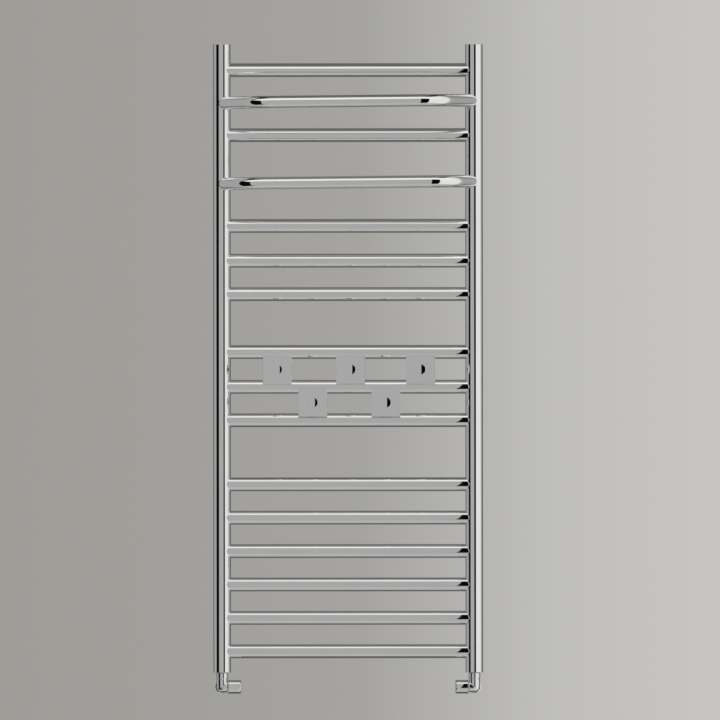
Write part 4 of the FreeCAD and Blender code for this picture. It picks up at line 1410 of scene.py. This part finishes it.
@dataclass
class ValveFittings:
    """What both valves have in common: union nuts, pipe nuts and bonnets."""

    valves: Sequence[Valve]
    union_neck: float = 0.9
    union_neck_length: float = 1.5
    union_shoulder: float = 2.2
    pipe_nut_flats: float = 11.0
    pipe_nut_mouth: float = 7.8
    pipe_nut_edge: float = 1.0
    pipe_nut_lip: float = 2.4
    pipe_nut_seat: float = 4.6

    def build(self) -> None:
        """Makes the nuts and the bonnets."""
        self.union_nuts()
        self.pipe_nuts()
        self.bonnets()

    def union_nuts(self) -> None:
        """Makes the round nuts between the uprights and the valve bodies."""
        box = Box.of("union_nuts")
        length = box.size.z / MM
        shape = Shape()
        for valve in self.valves:
            x, y, _ = valve.centre
            neck = valve.nut_radius - self.union_neck
            corners = [
                (valve.nut_bore, 0, 0.3),
                (neck, 0, 0.7),
                (neck, self.union_neck_length, 0.3),
                (valve.nut_radius, self.union_shoulder, 0.5),
                (valve.nut_radius, length, 1.4),
                (valve.nut_bore, length, 0.3),
            ]
            shape.turn(up_from(x, y, box.low.z), softened(corners, looped=True), looped=True)
        data = shape.mesh("union_nuts")
        piece("union_nut_set", data, CHROME_CAST.material(), "rail", ["union_nuts"])

    def pipe_nuts(self) -> None:
        """Makes the nuts that hold the supply pipes, each with two flats."""
        box = Box.of("compression_nuts")
        length = box.size.y / MM
        radius = box.high.x - self.valves[1].centre.x
        shape = Shape()
        for valve in self.valves:
            x, y, z = valve.centre
            flats, mouth = self.pipe_nut_flats * MM, self.pipe_nut_mouth * MM
            end, edge = length * MM, self.pipe_nut_edge * MM
            inner = valve.thread_radius * MM + FIT_GAP * MM
            rings = [
                Section(inner, 0.0),
                Section(flats - edge / 2, 0.0),
                Section(flats, edge, 2, radius),
                Section(flats, end - edge, 2, radius),
                Section(flats - edge / 2, end),
                Section(mouth + edge / 3, end),
                Section(mouth, end - edge / 3),
                Section(mouth, end - self.pipe_nut_lip * MM),
                Section(inner, end - self.pipe_nut_seat * MM),
            ]
            shape.turn(wallward(x, box.low.y, z), rings, looped=True)
        data = shape.mesh("pipe_nuts")
        piece("pipe_nut_set", data, CHROME_CAST.material(), "rail", ["compression_nuts"])

    def bonnets(self) -> None:
        """Makes the bonnets, which show in the gap between body and head."""
        box = Box.of("valve_bonnets")
        left, right = (valve.centre for valve in self.valves)
        shape = Shape()
        for valve in self.valves:
            x, y, z = valve.centre
            inner, hexagon = valve.inward_length * MM, valve.bonnet_hex_half * MM
            clip = hexagon * valve.bonnet_hex_clip
            end = box.high.x - left.x if valve.way > 0 else right.x - box.low.x
            barrel, bore, thread = valve.bonnet_barrel * MM, valve.bonnet_bore * MM, valve.bonnet_thread * MM
            start = inner - valve.bonnet_thread_length * MM
            seat = inner + FIT_GAP * MM
            step = inner + valve.bonnet_hex_length * MM
            reach = min(abs(end), inner + valve.bonnet_reach * MM)
            rings = [
                Section(bore, start),
                Section(thread, start),
                Section(thread, seat),
                Section(hexagon, seat, 6, clip),
                Section(hexagon, step, 6, clip),
                Section(barrel, step),
                Section(barrel, reach),
                Section(bore, reach),
            ]
            shape.turn(sideways(x, y, z, valve.way), rings, looped=True)
        data = shape.mesh("bonnets")
        piece("bonnet_set", data, PLATED_BRASS.material(), "rail", ["valve_bonnets"])


HIDDEN_FINISHES = {
    "valve_tails": BRASS,
    "tail_seals": RUBBER,
    "union_clips": PLAIN_STEEL,
    "olives": BRASS,
    "spindle_seals": RUBBER,
    "valve_spindle": BRASS,
    "valve_jumper": BRASS,
    "jumper_washer": RUBBER,
    "head_grub_screw": BLACK_STEEL,
}


@dataclass
class HiddenParts:
    """CAD nodes that stay as they are and only get their finish, by how their names start."""

    finishes: dict[str, Finish] = field(default_factory=lambda: dict(HIDDEN_FINISHES))

    def dress(self) -> None:
        """Gives each CAD node that still shows its material."""
        for name, thing in sorted(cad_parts.items()):
            if thing.hide_render:
                continue
            finish = next((f for start, f in self.finishes.items() if name.startswith(start)), CHROME)
            material = finish.material()
            if not thing.material_slots:
                thing.data.materials.append(material)
            for slot in thing.material_slots:
                slot.material = material
            LOG.info("%s keeps its shape and gets %s", name, finish.name)


# --- Studio and camera ---------------------------------------------------------------------------


# What the chrome mirrors far away: bearings in degrees, 0 towards the room and 90 to the right,
# and the brightness there.
WALL_LEVELS = (
    (-180, 0.2),
    (-166, 0.2),
    (-163, 0.04),
    (-141, 0.04),
    (-131, 0.3),
    (-120, 0.4),
    (-80, 0.4),
    (-78.5, 0.003),
    (-18, 0.003),
    (-15, 0.45),
    (25, 0.45),
    (28, 0.86),
    (92, 0.86),
    (101, 0.42),
    (116, 0.38),
    (136, 0.12),
    (141, 0.04),
    (163, 0.04),
    (166, 0.2),
    (180, 0.2),
)
FLOOR_LEVELS = ((-125, 0.1), (-104, 0.52), (104, 0.52), (125, 0.1))
# Heights above the horizon in degrees, and the tint there.
CEILING_TINTS = ((40, (0.045, 0.045, 0.043)), (72, (0.045, 0.045, 0.043)), (76, (0.2, 0.195, 0.185)))
# The pale background from left to right, with painted light: darker on the left and lighter on the right, as
# if lit from the right.
BACKDROP_PAINTED_LIGHT_TINTS = (
    (0.0, (0.345, 0.335, 0.315)),
    (0.2, (0.355, 0.345, 0.325)),
    (0.5, (0.375, 0.37, 0.355)),
    (0.75, (0.52, 0.515, 0.5)),
    (1.0, (0.575, 0.565, 0.55)),
)


@dataclass(frozen=True)
class SoftLight:
    """A soft light that is aimed at the rail."""

    name: str
    place: tuple[float, float, float]
    size: float
    power: float
    tint: Rgb = (1.0, 0.98, 0.95)

    def build(self) -> None:
        """Puts the light in the scene, unseen by the chrome."""
        light = bpy.data.lights.new(self.name, "AREA")
        light.size, light.energy = self.size, self.power
        light.color = self.tint
        thing = bpy.data.objects.new(self.name, light)
        thing.location = self.place
        thing.rotation_euler = (-Vector(self.place)).to_track_quat("-Z", "Y").to_euler()
        thing.visible_glossy = False
        bpy.context.scene.collection.objects.link(thing)


@dataclass
class Studio:
    """A pale room to look at, and the large soft shapes that the chrome mirrors."""

    backdrop_half: float = 0.0275
    dome_radius: float = 400.0
    floor_reach: tuple[float, float, float] = (-95.0, -48.0, 5.0)
    ceiling_reach: tuple[float, float, float] = (60.0, 95.0, 4.0)
    card_gap: float = 1.2
    card_low: float = -1.0
    card_high: float = 1.1
    card_bands: tuple[tuple[float, float], ...] = ((-1.21, 0.45), (0.209, 0.002), (0.735, 0.86), (0.9, 0.86))
    card_lean: float = 0.007
    floor_drop: float = 0.62
    floor_radius: float = 3.6
    lamp_near: float = -0.42
    lamp_far: float = -1.2
    lamp_rise: float = 0.5
    lamp_half: float = 1.3
    soft_lights: tuple[SoftLight, ...] = (
        SoftLight("key", (2.6, -2.8, 2.4), 1.6, 55.0),
        SoftLight("fill", (-2.4, 1.8, 2.0), 2.0, 25.0),
    )

    def build(self) -> None:
        """Makes the room, the floor, the mirrored surroundings, the lamp and the lights."""
        self.world()
        self.dome()
        self.card()
        self.floor()
        self.lamp()
        for light in self.soft_lights:
            light.build()

    def world(self) -> None:
        """Makes the pale background, with painted light that leaves it a little lighter to the right."""
        world = bpy.data.worlds.new("pale_room")
        bpy.context.scene.world = world
        world.use_nodes = True
        tree = world.node_tree
        tree.nodes.clear()
        coords = tree.nodes.new("ShaderNodeTexCoord")
        split = tree.nodes.new("ShaderNodeSeparateXYZ")
        ramp = tree.nodes.new("ShaderNodeValToRGB")
        spread = tree.nodes.new("ShaderNodeMapRange")
        spread.inputs["From Min"].default_value = -self.backdrop_half
        spread.inputs["From Max"].default_value = self.backdrop_half
        background = tree.nodes.new("ShaderNodeBackground")
        output = tree.nodes.new("ShaderNodeOutputWorld")
        # painted light: the backdrop's ramp grows lighter to the right, as if a lamp stood on that side
        fill_ramp(ramp, BACKDROP_PAINTED_LIGHT_TINTS)
        tree.links.new(coords.outputs["Generated"], split.inputs[0])
        tree.links.new(split.outputs[0], spread.inputs[0])
        tree.links.new(spread.outputs[0], ramp.inputs[0])
        tree.links.new(ramp.outputs[0], background.inputs[0])
        tree.links.new(background.outputs[0], output.inputs[0])

    def dome(self) -> None:
        """Makes the sphere of surroundings that only reflections see."""
        desk = NodeDesk("surroundings")
        place = desk.add("ShaderNodeTexCoord").outputs["Object"]
        x, y, z = desk.add("ShaderNodeSeparateXYZ", Vector=place).outputs
        turn = desk.maths("MULTIPLY", desk.maths("ARCTAN2", x, desk.maths("MULTIPLY", y, -1.0)), DEGREES)
        slope = desk.maths("ARCSINE", desk.maths("DIVIDE", z, self.dome_radius))
        height = desk.maths("MULTIPLY", slope, DEGREES)
        bearing = desk.maths("ADD", desk.maths("DIVIDE", turn, 360.0), 0.5)
        walls = desk.ramp(bearing, [at_bearing(*stop) for stop in WALL_LEVELS])
        floors = desk.ramp(bearing, [at_bearing(*stop) for stop in FLOOR_LEVELS])
        rise = desk.maths("ADD", desk.maths("DIVIDE", height, 180.0), 0.5)
        levels = desk.ramp(rise, [((degrees + 90) / 180, tint) for degrees, tint in CEILING_TINTS])
        below = desk.blend(desk.gate(height, *self.floor_reach), walls, floors)
        cover = desk.blend(desk.gate(height, *self.ceiling_reach), below, levels)
        glow = desk.add("ShaderNodeEmission", Color=cover, Strength=1.0)
        shape = Shape()
        bmesh.ops.create_uvsphere(shape.bm, u_segments=64, v_segments=32, radius=self.dome_radius)
        self.unseen("surroundings", shape.mesh("surroundings"), desk.surface(glow.outputs[0]))

    def card(self) -> None:
        """Makes the large card in front, in bands from grey to black to white."""
        y = Box.of("upright_left").middle.y - self.card_gap
        for number, ((left, level), (right, _)) in enumerate(zip(self.card_bands, self.card_bands[1:]), 1):
            desk = NodeDesk(f"card_{number}")
            place = desk.add("ShaderNodeTexCoord").outputs["Object"]
            mottle = (level * OFF_GREY, level * OFF_GREY, level)
            tint = desk.blend(desk.speckle(place, 0.8, 1.0), (level, level, level), mottle)
            glow = desk.add("ShaderNodeEmission", Color=tint, Strength=1.0)
            low, high = self.card_low, self.card_high
            corners = [(left, low), (right, low), (right, high), (left, high)]
            shape = Shape()
            shape.bm.faces.new(shape.ring(Vector((x + self.card_lean * z, y, z)) for x, z in corners))
            self.unseen(f"card_{number}", shape.mesh(f"card_{number}"), desk.surface(glow.outputs[0]))

    def unseen(self, name: str, data: bpy.types.Mesh, material: bpy.types.Material) -> None:
        """Adds a studio piece that lights and is mirrored, but is not looked at.

        Args:
            name: Its name.
            data: Its mesh.
            material: Its material.
        """
        data.materials.append(material)
        thing = spare(data)
        thing.name = name
        thing.visible_camera = False
        thing.visible_shadow = False

    def floor(self) -> None:
        """Makes a round, plain, pale floor under the rail."""
        desk = NodeDesk("pale_floor")
        place = desk.add("ShaderNodeTexCoord").outputs["Object"]
        tint = desk.blend(desk.speckle(place, 3.0, 4.0), (0.8, 0.79, 0.77), (0.84, 0.83, 0.81))
        shader = desk.add("ShaderNodeBsdfPrincipled", Base_Color=tint, Roughness=0.8)
        level = Box.of("valve_body_left").low.z - self.floor_drop
        shape = Shape()
        place = Matrix.Translation((0, 0, level))
        bmesh.ops.create_circle(
            shape.bm, cap_ends=True, segments=FINE, radius=self.floor_radius, matrix=place
        )
        data = shape.mesh("floor")
        data.materials.append(desk.surface(shader.outputs[0]))
        thing = spare(data)
        thing.name = "floor"
        thing.visible_glossy = False
        LOG.info("floor at %.3f m", level)

    def lamp(self) -> None:
        """Makes the long warm lamp overhead that draws the bright line along each bar."""
        desk = NodeDesk("lamp")
        place = desk.add("ShaderNodeTexCoord").outputs["Object"]
        tint = desk.blend(desk.speckle(place, 1.2, 2.0), (1.0, 0.965, 0.9), (1.0, 0.98, 0.93))
        glow = desk.add("ShaderNodeEmission", Color=tint, Strength=1.0)
        level = Box.of("upright_left").high.z + self.lamp_rise
        corners = [
            (-self.lamp_half, self.lamp_near),
            (self.lamp_half, self.lamp_near),
            (self.lamp_half, self.lamp_far),
            (-self.lamp_half, self.lamp_far),
        ]
        shape = Shape()
        shape.bm.faces.new(shape.ring(Vector((x, y, level)) for x, y in corners))
        self.unseen("lamp", shape.mesh("lamp"), desk.surface(glow.outputs[0]))


def at_bearing(degrees: float, level: float) -> tuple[float, Rgb]:
    """A ramp stop for a bearing, 0 towards the room and 90 to the right, in a near-neutral grey."""
    return (degrees + 180) / 360, (level, level, level * OFF_GREY)


def fill_ramp(node: bpy.types.Node, stops: Sequence[tuple[float, Rgb]]) -> None:
    """Sets a colour ramp's stops.

    Args:
        node: The ramp.
        stops: Places from 0 to 1 and their colours, in order.
    """
    elements = node.color_ramp.elements
    while len(elements) > 1:
        elements.remove(elements[-1])
    elements[0].position = stops[0][0]
    elements[0].color = (*stops[0][1], 1.0)
    for place, colour in stops[1:]:
        elements.new(place).color = (*colour, 1.0)


@dataclass
class Viewpoint:
    """The camera, straight in front of the rail."""

    across: float = 0.0213
    height: float = 0.0024
    distance: float = 24.0
    lens: float = 672.5
    roll: float = 0.04
    far: float = 100.0

    def build(self) -> None:
        """Makes the camera and looks through it."""
        camera = bpy.data.cameras.new("front_camera")
        camera.lens = self.lens
        camera.clip_end = self.far
        thing = bpy.data.objects.new("front_camera", camera)
        thing.location = (self.across, Box.of("upright_left").middle.y - self.distance, self.height)
        thing.rotation_euler = (math.pi / 2, math.radians(self.roll), 0.0)
        bpy.context.scene.collection.objects.link(thing)
        bpy.context.scene.camera = thing


def main() -> None:
    """Builds every part of the towel rail, the studio and the camera."""
    logging.basicConfig(level=logging.INFO, format="%(message)s")
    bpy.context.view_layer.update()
    bpy.context.scene.view_settings.view_transform = "Standard"
    Viewpoint().build()
    ladder = LadderFrame()
    ladder.build()
    for level in Level:
        BowedRail(ladder, level).build()
    WallBrackets(ladder).build()
    VentFittings(ladder).build()
    for number in range(1, HOOKS + 1):
        RobeHook(number).build()
    HookClamps().build()
    valves = [Valve(ladder, side) for side in Side]
    for valve in valves:
        valve.build()
    ValveFittings(valves).build()
    HiddenParts().dress()
    Studio().build()


if __name__ == "__main__":
    main()
